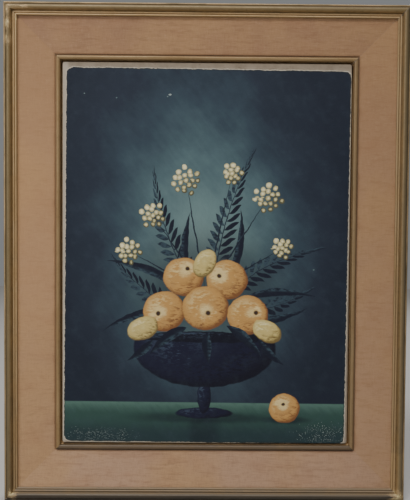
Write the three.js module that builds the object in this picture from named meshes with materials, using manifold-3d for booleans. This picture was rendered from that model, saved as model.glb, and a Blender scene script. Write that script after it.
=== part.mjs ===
// A framed oil painting in millimetres, with +Z up and the painted side facing -Y.
// A stretched canvas lies on the ledge of a gilt slip, with a narrow gap all round it. The slip lines the
// inside of a linen-covered liner, and the liner sits in the rabbet of a gilt outer moulding.
// The origin is in the middle of the top rail's back face, which lies against the wall.
import * as THREE from "three";
import { mergeVertices } from "three/addons/utils/BufferGeometryUtils.js";
import Module from "manifold-3d";

const wasm = await Module();
wasm.setup();

// Insets are measured inwards from the outside edge of the frame, and rises forwards from the wall.

// Canvas and stretcher, a stock size of 46 by 61 centimetres
const canvasWidth = 460;
const canvasHeight = 610;
const clothThickness = 0.9;
const canvasCornerRadius = 4;
const canvasArrisRadius = 1.2;
const turnoverWidth = 24;
const stretcherThickness = 16;
const stretcherBarWidth = 38;
const stretcherArrisRadius = 1.5;
const stretcherBevelDrop = 2.5;

// Fits
const fitGap = 0.3;
const mitreGap = 0.3;
const floatGap = 3;

// Gilt slip with the ledge that carries the canvas
const slipGrooveWidth = 1.6;
const slipBeadWidth = 6.9;
const slipGrooveDrop = 1.2;
const slipReveal = 1.8;
const slipBeadHeight = 2.5;
const slipBackRise = 1;
const ledgeThickness = 3.5;
const ledgeGrip = 10;

// Linen-covered liner
const linenFace = 58;
const linenOuterRise = 30.2;
const linenInnerRise = 23.5;
const linenArrisRadius = 1.5;
const linenFoldClearance = 2;
const linerBackRise = 10;

// Gilt outer moulding, listed from the outside edge inwards
const arrisBeadWidth = 3.6;
const humpWidth = 10.4;
const grooveWidth = 1;
const middleBeadWidth = 3;
const quirkWidth = 0.8;
const sightBeadWidth = 2.8;
const sightEdgeWidth = 0.4;
const rabbetWidth = 6;
const rabbetLipThickness = 1.9;
const sideRise = 31;
const humpHeight = 8;
const grooveDrop = 0.5;

// Toothed hanging strip and its two nails
const hangerLength = 63;
const hangerHeight = 9;
const hangerThickness = 1;
const hangerLift = 1.6;
const hangerFootLength = 11;
const toothPitch = 5;
const toothLand = 0.5;
const toothDepth = 3;
const toothCount = 7;
const nailRadius = 0.7;
const nailLength = 9;
const nailHeadRadius = 2.2;
const nailHeadThickness = 0.7;

// Facets, and how far a cutting solid runs past what it cuts
const curveSegments = 8;
const cornerSegments = 6;
const roundSides = 16;
const cutOverrun = 1;

// Insets and rises worked out from the sizes above
const frameFace =
  arrisBeadWidth + humpWidth + grooveWidth + middleBeadWidth + quirkWidth + sightBeadWidth + sightEdgeWidth;
const frameBackWidth = frameFace - rabbetWidth;
const linenInset = frameFace + linenFace;
const slipOuterInset = linenInset + fitGap;
const slipInset = slipOuterInset + slipGrooveWidth + slipBeadWidth;
const canvasInset = slipInset + floatGap;
const stretcherInset = canvasInset + clothThickness + fitGap;
const stretcherInnerInset = stretcherInset + stretcherBarWidth;
const frameWidth = canvasWidth + 2 * canvasInset;
const frameHeight = canvasHeight + 2 * canvasInset;

const linenSlope = (linenOuterRise - linenInnerRise) / linenFace;
const linenRise = (inset) => linenOuterRise - linenSlope * (inset - frameFace);
const linerOuterInset = frameBackWidth + fitGap;
const linerInnerInset = linenInset - clothThickness - fitGap;
const rabbetRise = linenRise(linerOuterInset) + fitGap;
const frameSightRise = rabbetRise + rabbetLipThickness;

const ledgeRise = slipBackRise + ledgeThickness;
const canvasBackRise = ledgeRise + fitGap;
const stretcherBackRise = canvasBackRise + clothThickness + fitGap;
const stretcherFrontRise = stretcherBackRise + stretcherThickness;
const canvasFrontRise = stretcherFrontRise + fitGap + clothThickness;

// Finishes
const finish = (color, roughness, metalness = 0) =>
  new THREE.MeshStandardMaterial({ color, roughness, metalness });
const gilding = finish(0x9c8660, 0.45, 0.6);
const linen = finish(0xa3815f, 0.95);
const linerWood = finish(0xb59468, 0.8);
const pine = finish(0xc9a676, 0.75);
const canvasCloth = finish(0x3c4f58, 0.6);
const steel = finish(0x9a958b, 0.4, 1);

// The manifold solid of a closed three.js geometry, and the geometry of a solid
function solidOf(geometry) {
  const bare = geometry.clone();
  bare.deleteAttribute("normal");
  bare.deleteAttribute("uv");
  const merged = mergeVertices(bare, 1e-4);
  return new wasm.Manifold(
    new wasm.Mesh({
      numProp: 3,
      vertProperties: merged.attributes.position.array,
      triVerts: new Uint32Array(merged.index.array),
    }),
  );
}

function geometryOf(solid) {
  const mesh = solid.getMesh();
  const geometry = new THREE.BufferGeometry();
  geometry.setAttribute("position", new THREE.BufferAttribute(mesh.vertProperties, 3));
  geometry.setIndex(new THREE.BufferAttribute(mesh.triVerts, 1));
  const flat = geometry.toNonIndexed();
  flat.computeVertexNormals();
  return flat;
}

// A box given by its lowest and highest corners
function box(low, high) {
  const size = high.map((value, axis) => value - low[axis]);
  const middle = high.map((value, axis) => (value + low[axis]) / 2);
  return solidOf(new THREE.BoxGeometry(...size).translate(...middle));
}

// A half-round bead on a profile, from one inset to another
function addBead(profile, fromInset, toInset, rise) {
  const radius = (toInset - fromInset) / 2;
  profile.absarc(fromInset + radius, rise, radius, Math.PI, 0, true);
}

// Profiles: x is the inset and y the rise

function outerMouldingProfile() {
  const profile = new THREE.Shape();
  const humpStart = arrisBeadWidth;
  const humpEnd = humpStart + humpWidth;
  const beadStart = humpEnd + grooveWidth;
  const quirkStart = beadStart + middleBeadWidth;
  const sightBeadStart = quirkStart + quirkWidth;
  const sightBeadEnd = sightBeadStart + sightBeadWidth;
  const crestInset = humpStart + 0.56 * humpWidth;
  const crestRise = sideRise + humpHeight;
  const grooveRise = frameSightRise - grooveDrop;
  profile.moveTo(0, 0);
  profile.lineTo(0, sideRise);
  addBead(profile, 0, arrisBeadWidth, sideRise);
  profile.bezierCurveTo(
    humpStart + 0.04 * humpWidth,
    sideRise + 0.7 * humpHeight,
    humpStart + 0.24 * humpWidth,
    crestRise,
    crestInset,
    crestRise,
  );
  profile.bezierCurveTo(
    humpStart + 0.82 * humpWidth,
    crestRise,
    humpStart + 0.97 * humpWidth,
    sideRise + 0.6 * humpHeight,
    humpEnd,
    grooveRise,
  );
  profile.lineTo(beadStart, grooveRise);
  profile.lineTo(beadStart, frameSightRise);
  addBead(profile, beadStart, quirkStart, frameSightRise);
  profile.lineTo(sightBeadStart, frameSightRise);
  addBead(profile, sightBeadStart, sightBeadEnd, frameSightRise);
  profile.lineTo(frameFace, frameSightRise - sightEdgeWidth / 2);
  profile.lineTo(frameFace, rabbetRise);
  profile.lineTo(frameBackWidth, rabbetRise);
  profile.lineTo(frameBackWidth, 0);
  return profile;
}

function linerProfile() {
  const profile = new THREE.Shape();
  const underCloth = (inset) => linenRise(inset) - clothThickness - fitGap;
  profile.moveTo(linerOuterInset, linerBackRise);
  profile.lineTo(linerOuterInset, underCloth(linerOuterInset));
  profile.lineTo(linerInnerInset, underCloth(linerInnerInset));
  profile.lineTo(linerInnerInset, linerBackRise);
  return profile;
}

// Linen glued over the liner's face and turned down its inner edge
function linenProfile() {
  const profile = new THREE.Shape();
  const foldRise = linerBackRise + linenFoldClearance;
  const sightRise = linenRise(linenInset);
  const clothInset = linenInset - clothThickness;
  const arrisStart = linenInset - linenArrisRadius;
  profile.moveTo(linerOuterInset, linenRise(linerOuterInset));
  profile.lineTo(arrisStart, linenRise(arrisStart));
  profile.quadraticCurveTo(linenInset, sightRise, linenInset, sightRise - linenArrisRadius);
  profile.lineTo(linenInset, foldRise);
  profile.lineTo(clothInset, foldRise);
  profile.lineTo(clothInset, linenRise(clothInset) - clothThickness);
  profile.lineTo(linerOuterInset, linenRise(linerOuterInset) - clothThickness);
  return profile;
}

function slipProfile() {
  const profile = new THREE.Shape();
  const grooveEnd = slipOuterInset + slipGrooveWidth;
  const grooveRise = linenInnerRise - slipGrooveDrop;
  const innerRise = canvasFrontRise + slipReveal;
  const crestRise = innerRise + slipBeadHeight;
  const crestInset = grooveEnd + 0.4 * slipBeadWidth;
  const ledgeInset = canvasInset + ledgeGrip;
  profile.moveTo(slipOuterInset, slipBackRise);
  profile.lineTo(slipOuterInset, grooveRise);
  profile.lineTo(grooveEnd, grooveRise);
  profile.bezierCurveTo(
    grooveEnd,
    crestRise - 0.2 * (crestRise - grooveRise),
    grooveEnd + 0.12 * slipBeadWidth,
    crestRise,
    crestInset,
    crestRise,
  );
  profile.bezierCurveTo(
    grooveEnd + 0.75 * slipBeadWidth,
    crestRise,
    slipInset,
    crestRise - 0.45 * slipBeadHeight,
    slipInset,
    innerRise,
  );
  profile.lineTo(slipInset, ledgeRise);
  profile.lineTo(ledgeInset, ledgeRise);
  profile.lineTo(ledgeInset, slipBackRise);
  return profile;
}

// Only the rounded outer edge of a stretcher bar touches the canvas, and its face falls away behind that
function stretcherProfile() {
  const profile = new THREE.Shape();
  const arrisInset = stretcherInset + stretcherArrisRadius;
  const arrisRise = stretcherFrontRise - stretcherArrisRadius;
  profile.moveTo(stretcherInset, stretcherBackRise);
  profile.lineTo(stretcherInset, arrisRise);
  profile.absarc(arrisInset, arrisRise, stretcherArrisRadius, Math.PI, Math.PI / 2, true);
  profile.lineTo(stretcherInnerInset, stretcherFrontRise - stretcherBevelDrop);
  profile.lineTo(stretcherInnerInset, stretcherBackRise);
  return profile;
}

// One length of moulding with a mitre at each end, lying along X with its outside edge at the height reach
function mitredLength(profile, length, reach) {
  const geometry = new THREE.ExtrudeGeometry(profile, { depth: 1, bevelEnabled: false, curveSegments });
  const places = geometry.attributes.position;
  const setback = mitreGap / Math.SQRT2;
  for (let i = 0; i < places.count; i++) {
    const inset = places.getX(i);
    const end = places.getZ(i) > 0.5 ? -1 : 1;
    places.setXYZ(i, end * (length / 2 - inset - setback), -places.getY(i), reach - inset);
  }
  geometry.computeVertexNormals();
  return geometry;
}

// The sides of the picture, seen from the front, as quarter turns from the top
const sides = ["top", "right", "bottom", "left"].map((name, turn) => ({
  name,
  angle: (turn * Math.PI) / 2,
  length: turn % 2 ? frameHeight : frameWidth,
  reach: (turn % 2 ? frameWidth : frameHeight) / 2,
}));

function pieceOn(side, name, geometry, material) {
  const piece = new THREE.Mesh(geometry, material);
  piece.name = name;
  piece.rotation.y = side.angle;
  return piece;
}

function ringOf(prefix, profile, material, trim = (geometry) => geometry) {
  return sides.map((side) => {
    const length = mitredLength(profile, side.length, side.reach);
    return pieceOn(side, `${prefix}_${side.name}`, trim(length, side), material);
  });
}

// A rectangle with rounded corners, standing across Y between two rises
function roundedBlock(width, height, radius, backRise, frontRise, arris = 0) {
  const outline = new THREE.Shape();
  const right = width / 2 - radius;
  const top = height / 2 - radius;
  outline.absarc(right, top, radius, 0, Math.PI / 2);
  outline.absarc(-right, top, radius, Math.PI / 2, Math.PI);
  outline.absarc(-right, -top, radius, Math.PI, 1.5 * Math.PI);
  outline.absarc(right, -top, radius, 1.5 * Math.PI, 2 * Math.PI);
  const geometry = new THREE.ExtrudeGeometry(outline, {
    depth: frontRise - backRise - 2 * arris,
    bevelEnabled: arris > 0,
    bevelThickness: arris,
    bevelSize: arris,
    bevelOffset: -arris,
    bevelSegments: 3,
    curveSegments: cornerSegments,
  });
  return solidOf(geometry.rotateX(Math.PI / 2).translate(0, -(backRise + arris), 0));
}

// One cloth: the face, the four turned edges and the margin folded over the back of the stretcher
function canvasGeometry() {
  const wall = 2 * clothThickness;
  const windowWidth = canvasWidth - 2 * turnoverWidth;
  const windowHeight = canvasHeight - 2 * turnoverWidth;
  const windowFront = canvasBackRise + clothThickness + cutOverrun;
  const windowBack = canvasBackRise - cutOverrun;
  const cloth = roundedBlock(
    canvasWidth,
    canvasHeight,
    canvasCornerRadius,
    canvasBackRise,
    canvasFrontRise,
    canvasArrisRadius,
  );
  const hollow = roundedBlock(
    canvasWidth - wall,
    canvasHeight - wall,
    canvasCornerRadius - clothThickness,
    canvasBackRise + clothThickness,
    canvasFrontRise - clothThickness,
  );
  const opening = box(
    [-windowWidth / 2, -windowFront, -windowHeight / 2],
    [windowWidth / 2, -windowBack, windowHeight / 2],
  );
  return geometryOf(cloth.subtract(hollow).subtract(opening));
}

// The outer corners of a bar follow the rounded corners of the cloth
function trimBar(geometry, side) {
  const shrink = 2 * (clothThickness + fitGap);
  const blank = roundedBlock(
    side.length - 2 * canvasInset - shrink,
    2 * (side.reach - canvasInset) - shrink,
    canvasCornerRadius - clothThickness - fitGap,
    stretcherBackRise - cutOverrun,
    stretcherFrontRise + cutOverrun,
  );
  return geometryOf(solidOf(geometry).intersect(blank));
}

// The hanging strip is centred on the back of the top liner rail
const hangerCentre = frameHeight / 2 - (linerOuterInset + linerInnerInset) / 2;
const nailOffset = (hangerLength - hangerFootLength) / 2;
const hangerFootRise = linerBackRise - fitGap;

// A hole for a nail, from the wall to a rise
function nailHole(offset, deepRise) {
  const radius = nailRadius + fitGap;
  const geometry = new THREE.CylinderGeometry(radius, radius, deepRise, roundSides);
  return solidOf(geometry.translate(offset, -deepRise / 2, hangerCentre));
}

// A strip that stands off the wood between its two feet, with teeth along its lower edge
function hangerGeometry() {
  const half = hangerLength / 2;
  const footEnd = half - hangerFootLength;
  const bendEnd = footEnd - hangerLift;
  const outline = new THREE.Shape();
  const back = [
    [half, 0],
    [footEnd, 0],
    [bendEnd, hangerLift],
    [-bendEnd, hangerLift],
    [-footEnd, 0],
    [-half, 0],
  ];
  const front = back.map(([x, lift]) => [x, lift + hangerThickness]).reverse();
  outline.setFromPoints([...back, ...front].map(([x, lift]) => new THREE.Vector2(x, lift - hangerFootRise)));
  const strip = new THREE.ExtrudeGeometry(outline, { depth: hangerHeight, bevelEnabled: false });
  let solid = solidOf(strip.translate(0, 0, hangerCentre - hangerHeight / 2));
  const toothBase = hangerCentre - hangerHeight / 2;
  for (let i = 0; i < toothCount; i++) {
    const middle = (i - (toothCount - 1) / 2) * toothPitch;
    const notch = new THREE.Shape();
    notch.moveTo(middle - (toothPitch - toothLand) / 2, toothBase - cutOverrun);
    notch.lineTo(middle + (toothPitch - toothLand) / 2, toothBase - cutOverrun);
    notch.lineTo(middle, toothBase + toothDepth);
    const cutter = new THREE.ExtrudeGeometry(notch, { depth: linerBackRise, bevelEnabled: false });
    solid = solid.subtract(solidOf(cutter.rotateX(Math.PI / 2)));
  }
  for (const end of [-1, 1]) {
    solid = solid.subtract(nailHole(end * nailOffset, linerBackRise));
  }
  return geometryOf(solid);
}

function nailGeometry() {
  const headRise = hangerFootRise - hangerThickness - fitGap;
  const outline = [
    [0, headRise - nailHeadThickness],
    [nailHeadRadius, headRise - nailHeadThickness],
    [nailHeadRadius, headRise],
    [nailRadius, headRise],
    [nailRadius, headRise + nailLength - 2 * nailRadius],
    [0, headRise + nailLength],
  ].map(([radius, rise]) => new THREE.Vector2(radius, rise));
  return new THREE.LatheGeometry(outline, roundSides).rotateX(Math.PI);
}

function hangerPieces() {
  const hanger = new THREE.Mesh(hangerGeometry(), steel);
  hanger.name = "hanging_strip";
  const nails = [-1, 1].map((end) => {
    const nail = new THREE.Mesh(nailGeometry(), steel);
    nail.name = end < 0 ? "strip_nail_left" : "strip_nail_right";
    nail.position.set(end * nailOffset, 0, hangerCentre);
    return nail;
  });
  return [hanger, ...nails];
}

// The top liner rail has pilot holes for the strip's nails
function pierceLiner(geometry, side) {
  if (side.name !== "top") return geometry;
  const holeRise = hangerFootRise - hangerThickness - fitGap + nailLength + fitGap;
  let rail = solidOf(geometry);
  for (const end of [-1, 1]) {
    rail = rail.subtract(nailHole(end * nailOffset, holeRise));
  }
  return geometryOf(rail);
}

const canvas = new THREE.Mesh(canvasGeometry(), canvasCloth);
canvas.name = "canvas";

const picture = new THREE.Group();
picture.position.z = frameBackWidth / 2 - frameHeight / 2;
picture.add(
  ...ringOf("frame", outerMouldingProfile(), gilding),
  ...ringOf("liner", linerProfile(), linerWood, pierceLiner),
  ...ringOf("linen", linenProfile(), linen),
  ...ringOf("slip", slipProfile(), gilding),
  ...ringOf("stretcher", stretcherProfile(), pine, trimBar),
  canvas,
  ...hangerPieces(),
);

const part = new THREE.Group();
part.add(picture);

export default part;
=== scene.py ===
# %% [markdown]
# A framed oil painting hangs on a wall. From the outside inwards it has a gilt wooden moulding, a sloping
# liner covered in linen, a gilt slip, and a stretched canvas that floats in the slip's opening. The packed
# frame gives every solid at its real place. This script keeps the hidden woodwork as it is, and models the
# gilt lengths, the linen and the canvas again with finer surfaces. The picture is painted by shader nodes.

# %% Load the frame and keep its box
import math

import bmesh
import bpy
from mathutils import Matrix, Vector, noise


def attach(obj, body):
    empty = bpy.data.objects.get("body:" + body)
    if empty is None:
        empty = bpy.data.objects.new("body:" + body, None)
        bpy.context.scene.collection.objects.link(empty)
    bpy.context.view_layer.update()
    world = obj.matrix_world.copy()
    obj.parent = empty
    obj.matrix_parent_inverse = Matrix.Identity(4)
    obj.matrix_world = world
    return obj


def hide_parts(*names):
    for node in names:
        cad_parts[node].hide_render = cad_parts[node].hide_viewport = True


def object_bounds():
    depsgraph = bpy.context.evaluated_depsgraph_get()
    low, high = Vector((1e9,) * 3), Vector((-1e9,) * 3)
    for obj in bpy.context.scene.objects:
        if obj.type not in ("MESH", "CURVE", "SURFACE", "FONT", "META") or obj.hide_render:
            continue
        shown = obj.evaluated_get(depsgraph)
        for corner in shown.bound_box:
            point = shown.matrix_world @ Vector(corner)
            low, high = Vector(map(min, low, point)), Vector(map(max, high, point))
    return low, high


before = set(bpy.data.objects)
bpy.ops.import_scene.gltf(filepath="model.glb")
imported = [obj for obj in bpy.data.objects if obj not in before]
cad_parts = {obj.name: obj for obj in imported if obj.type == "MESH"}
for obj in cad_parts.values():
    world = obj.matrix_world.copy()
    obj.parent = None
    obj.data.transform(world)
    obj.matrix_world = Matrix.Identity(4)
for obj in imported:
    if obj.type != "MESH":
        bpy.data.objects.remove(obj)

cad_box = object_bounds()
MM = 0.001
print("box of the solids, in metres:", cad_box)

# %% [markdown]
# The picture fills the view, seen from a little to the left and above the middle, and slightly downwards.
# The lens is given for a 24 mm high sensor, so that 820 pixels of focal length fall on an image 500 pixels
# high.

# %% Camera
IMAGE_HEIGHT = 500
FOCAL_PIXELS = 820
SENSOR_HEIGHT = 24.0
CAMERA_PLACE = (-14.4 * MM, -1336 * MM, -328.4 * MM)
CAMERA_ANGLES = (87.695, -0.414, -0.527)

camera_data = bpy.data.cameras.new("camera")
camera_data.sensor_fit = "VERTICAL"
camera_data.sensor_height = SENSOR_HEIGHT
camera_data.lens = FOCAL_PIXELS / IMAGE_HEIGHT * SENSOR_HEIGHT
camera = bpy.data.objects.new("camera", camera_data)
camera.location = CAMERA_PLACE
camera.rotation_euler = [math.radians(angle) for angle in CAMERA_ANGLES]
bpy.context.collection.objects.link(camera)
bpy.context.scene.camera = camera
print("camera lens:", round(camera_data.lens, 1), "mm")

# %% [markdown]
# A plain pale floor lies just under the picture. The world is an even pale grey. A wide soft light hangs in
# front and above, so that the faces that look up are bright and those that look down are shaded, and a
# weaker one fills the shadows from the left.

# %% Floor, world and lights
FLOOR_GAP = 1 * MM
FLOOR_SIZE = 8.0


def build_floor():
    bm = bmesh.new()
    bmesh.ops.create_grid(bm, x_segments=1, y_segments=1, size=FLOOR_SIZE / 2)
    bmesh.ops.translate(bm, vec=(0, 0, cad_box[0][2] - FLOOR_GAP), verts=bm.verts)
    mesh = bpy.data.meshes.new("floor")
    bm.to_mesh(mesh)
    bm.free()
    floor = bpy.data.objects.new("floor", mesh)
    bpy.context.collection.objects.link(floor)
    paper = bpy.data.materials.new("pale_paper")
    paper.use_nodes = True
    shader = paper.node_tree.nodes["Principled BSDF"]
    shader.inputs["Base Color"].default_value = (0.5, 0.49, 0.475, 1)
    shader.inputs["Roughness"].default_value = 0.9
    mesh.materials.append(paper)


def add_light(name, location, aim, size, power, colour=(1, 1, 1)):
    data = bpy.data.lights.new(name, "AREA")
    data.shape = "RECTANGLE"
    data.size, data.size_y = size
    data.energy = power
    data.color = colour
    light = bpy.data.objects.new(name, data)
    light.location = location
    light.rotation_euler = (Vector(aim) - Vector(location)).to_track_quat("-Z", "Y").to_euler()
    bpy.context.collection.objects.link(light)


build_floor()
world = bpy.data.worlds.new("studio")
world.use_nodes = True
world.node_tree.nodes["Background"].inputs["Color"].default_value = (0.86, 0.88, 0.9, 1)
world.node_tree.nodes["Background"].inputs["Strength"].default_value = 0.24
bpy.context.scene.world = world
picture_middle = (0, 0, (cad_box[0][2] + cad_box[1][2]) / 2)
add_light("key", (-0.6, -3.0, 4.0), picture_middle, (2.0, 1.2), 205, (1, 0.97, 0.92))
add_light("fill", (-1.9, -1.8, 0.5), picture_middle, (1.0, 1.6), 24)
add_light("back", (0.8, 2.2, 1.2), picture_middle, (1.6, 1.6), 26)

# %% [markdown]
# Materials are wired by hand in many small steps, so two short classes keep each step on one line. A signal
# is what a node puts out, and sums and products of signals add math nodes. The wiring adds a node, feeds
# its sockets with numbers or signals, and names the common mixes.

# %% Wiring of shader nodes
class Signal:
    def __init__(self, wiring, socket):
        self.wiring = wiring
        self.socket = socket

    def __add__(self, other):
        return self.wiring.math("ADD", self, other)

    def __sub__(self, other):
        return self.wiring.math("SUBTRACT", self, other)

    def __rsub__(self, other):
        return self.wiring.math("SUBTRACT", other, self)

    def __mul__(self, other):
        return self.wiring.math("MULTIPLY", self, other)

    def __truediv__(self, other):
        return self.wiring.math("DIVIDE", self, other)

    def __rtruediv__(self, other):
        return self.wiring.math("DIVIDE", other, self)

    def __abs__(self):
        return self.wiring.math("ABSOLUTE", self)

    __radd__ = __add__
    __rmul__ = __mul__


class Wiring:
    def __init__(self, tree):
        self.tree = tree

    def add(self, kind, inputs=None, **settings):
        node = self.tree.nodes.new("ShaderNode" + kind)
        for name, value in settings.items():
            setattr(node, name, value)
        for socket, value in (inputs or {}).items():
            self.feed(node.inputs[socket], value)
        return node

    def feed(self, socket, value):
        if isinstance(value, Signal):
            self.tree.links.new(value.socket, socket)
        elif value is not None:
            socket.default_value = value

    def out(self, output, kind, inputs=None, **settings):
        return Signal(self, self.add(kind, inputs, **settings).outputs[output])

    def math(self, operation, a, b=None, c=None, clamp=False):
        return self.out(0, "Math", {0: a, 1: b, 2: c}, operation=operation, use_clamp=clamp)

    def vector(self, operation, a, b=None, output=0):
        return self.out(output, "VectorMath", {0: a, 1: b}, operation=operation)

    def oval(self, place, centre, size):
        """One on the rim of an oval, and less inside it."""
        local = self.vector("DIVIDE", self.vector("SUBTRACT", place, centre), size)
        return self.vector("LENGTH", local, output="Value")

    def mix(self, factor, first, second):
        return self.out(2, "Mix", {0: factor, 6: first, 7: second}, data_type="RGBA")

    def blend(self, factor, first, second):
        return self.out(0, "Mix", {0: factor, 2: first, 3: second})

    def noise(self, vector, scale, detail=2.0, roughness=0.5, output="Fac"):
        inputs = {"Vector": vector, "Scale": scale, "Detail": detail, "Roughness": roughness}
        return self.out(output, "TexNoise", inputs)

    def linear(self, value, low, high, start=0.0, end=1.0, **settings):
        inputs = {"Value": value, "From Min": low, "From Max": high, "To Min": start, "To Max": end}
        return self.out("Result", "MapRange", inputs, **settings)

    def smooth(self, *values):
        return self.linear(*values, interpolation_type="SMOOTHSTEP")

    def stretch(self, vector, scale):
        return self.out("Vector", "Mapping", {"Vector": vector, "Scale": scale})

    def turn(self, vector, angle):
        return self.out(0, "VectorRotate", {"Vector": vector, "Angle": angle}, rotation_type="Z_AXIS")

    def part(self, vector, axis):
        """One of a vector's three numbers. A dot product leaves no unused socket behind, and a shader has
        room for only 255 numbers at a time."""
        unit = tuple(1.0 if i == axis else 0.0 for i in range(3))
        return self.vector("DOT_PRODUCT", vector, unit, output="Value")

    def join(self, x, y, z):
        return self.out(0, "CombineXYZ", {0: x, 1: y, 2: z})

    def stored(self, name):
        """A number stored on the mesh."""
        return self.out("Fac", "Attribute", attribute_name=name)

    def group(self, tree, inputs):
        node = self.add("Group", inputs, node_tree=tree)
        return {socket.name: Signal(self, socket) for socket in node.outputs}


def srgb(red, green, blue):
    """A colour given as 0 to 255 on a screen, as the linear values that shaders use."""
    channels = []
    for value in (red, green, blue):
        share = value / 255
        channels.append(share / 12.92 if share <= 0.04045 else ((share + 0.055) / 1.055) ** 2.4)
    return (*channels, 1.0)


SOCKETS = {"number": "NodeSocketFloat", "colour": "NodeSocketColor", "vector": "NodeSocketVector"}


def start_group(name, gives, vectors=(), colours=(), **numbers):
    """An empty node group, with its wiring, its inputs as signals, and a way to set its outputs."""
    tree = bpy.data.node_groups.new(name, "ShaderNodeTree")
    kinds = {label: "vector" for label in vectors}
    kinds.update({label: "number" for label in numbers})
    kinds.update({label: "colour" for label in colours})
    for label, kind in kinds.items():
        socket = tree.interface.new_socket(label, in_out="INPUT", socket_type=SOCKETS[kind])
        if label in numbers:
            socket.default_value = numbers[label]
    for label, kind in gives.items():
        tree.interface.new_socket(label, in_out="OUTPUT", socket_type=SOCKETS[kind])
    wiring = Wiring(tree)
    source = tree.nodes.new("NodeGroupInput")
    target = tree.nodes.new("NodeGroupOutput")
    given = {label: Signal(wiring, source.outputs[label]) for label in kinds}

    def put(**values):
        for label, value in values.items():
            wiring.feed(target.inputs[label], value)

    return tree, wiring, given, put


def start_material(name):
    """A material with its wiring, its shader node and the object's own coordinates."""
    material = bpy.data.materials.new(name)
    material.use_nodes = True
    wiring = Wiring(material.node_tree)
    shader = material.node_tree.nodes["Principled BSDF"]
    place = wiring.out("Object", "TexCoord")
    return material, wiring, shader, place


def set_bump(wiring, shader, height, distance):
    inputs = {"Height": height, "Distance": distance, "Strength": 1.0}
    wiring.feed(shader.inputs["Normal"], wiring.out("Normal", "Bump", inputs))


print("wiring ready")

# %% [markdown]
# The gilding is thin metal leaf, or bronze paint, over a brown bole and pale gesso. The beads are rubbed
# paler, the grooves hold an umber glaze, and grey dust lies on whatever looks up. Dust together with
# painted shade dulls the lower and right lengths all over. Grime together with painted shade darkens the
# lower length most where its faces look down, the right lengths and the lower slip less, and the left
# length towards its foot. Numbers stored on the mesh say how much of each a point has, and how warm its
# gold is, so that the group only has to mix the layers. Where the gilding is knocked away, the pale gesso
# shows.

# %% Group for worn gilding
MARKS = ("Glaze", "Rub", "Warmth", "Dust_And_Shade", "Upright", "Grime_And_Shade")


def build_gilding_group():
    tree, w, given, put = start_group(
        "worn gilding",
        {"Color": "colour", "Roughness": "number", "Metallic": "number", "Height": "number"},
        vectors=["Place"],
        colours=["Leaf", "Warm Leaf", "Rubbed", "Umber", "Gesso", "Grey"],
        Knocks=0.0,
        **dict.fromkeys(MARKS, 0.0),
    )
    place = given["Place"]
    cloudy = w.noise(place, 26, 4, 0.6)
    mottled = w.noise(place, 170, 5, 0.65)
    fine = w.noise(place, 900, 3, 0.6)
    level_streak = w.noise(w.stretch(place, (0.07, 1, 1)), 190, 4, 0.65)
    upright_streak = w.noise(w.stretch(place, (1, 1, 0.07)), 190, 4, 0.65)
    streak = w.blend(given["Upright"], level_streak, upright_streak)
    leaf = w.mix(given["Warmth"], given["Leaf"], given["Warm Leaf"])
    leaf = w.mix(w.smooth(cloudy, 0.38, 0.7) * 0.4, leaf, srgb(104, 90, 62))
    leaf = w.mix(w.smooth(mottled, 0.46, 0.74) * 0.35, leaf, srgb(96, 76, 48))
    rubbing = w.smooth(cloudy * 0.5 + streak * 0.7, 0.42, 0.74, 0.15, 1.0)
    colour = w.mix(given["Rub"] * rubbing, leaf, given["Rubbed"])
    uneven = mottled - 0.5 + (streak - 0.5)
    glaze = w.smooth(given["Glaze"] + uneven * 0.45, 0.1, 0.95)
    colour = w.mix(glaze, colour, given["Umber"])
    specks = w.smooth(w.noise(place, 420, 2, 0.5), 0.69, 0.74)
    colour = w.mix(specks * 0.5, colour, srgb(62, 46, 30))
    flaking = w.blend(0.55, w.noise(place, 260, 5, 0.7), streak) + given["Knocks"] * 0.24
    near = w.smooth(given["Knocks"], 0.02, 0.3)
    worn = w.smooth(flaking, 0.6, 0.68) * near
    knocked = w.smooth(flaking, 0.7, 0.76) * near
    # Dust dulls the gold to grey. On the lower and right lengths an even share of it is painted shade.
    dust_and_shade = w.smooth(given["Dust_And_Shade"], 0.05, 0.8) * w.smooth(cloudy, 0.2, 0.6, 0.5, 0.85)
    colour = w.mix(dust_and_shade, colour, given["Grey"])
    # Grime and painted shade darken the lower length's hump and down-facing faces, and lightly the right
    # lengths and the lower slip.
    grime_and_shade = given["Grime_And_Shade"] * w.smooth(streak, 0.3, 0.6, 1.0, 0.88)
    colour = w.mix(grime_and_shade, colour, srgb(54, 47, 38))
    colour = w.mix(worn * 0.5, colour, given["Rubbed"])
    colour = w.mix(knocked, colour, given["Gesso"])
    bared = w.math("MAXIMUM", w.math("MAXIMUM", dust_and_shade, grime_and_shade), knocked)
    metal = w.blend(glaze, 0.4, 0.1) * (1.0 - bared)
    rough = mottled * 0.22 + w.blend(glaze, 0.38, 0.6)
    height = mottled * 0.6 + fine * 0.25 - knocked * 1.2
    put(Color=colour, Roughness=rough, Metallic=metal, Height=height)
    return tree


gilding_group = build_gilding_group()
print("gilding group:", len(gilding_group.nodes), "nodes")

# %% [markdown]
# The worst wear is at the upper left corner. The other corners have small knocks, and the lengths between
# them a cleaner finish. A knock is a soft ball around a chosen point near a corner of the frame.

# %% Gilding materials
picture_z = picture_middle[2]
half_width = (cad_box[1][0] - cad_box[0][0]) / 2
half_height = (cad_box[1][2] - cad_box[0][2]) / 2

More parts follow.
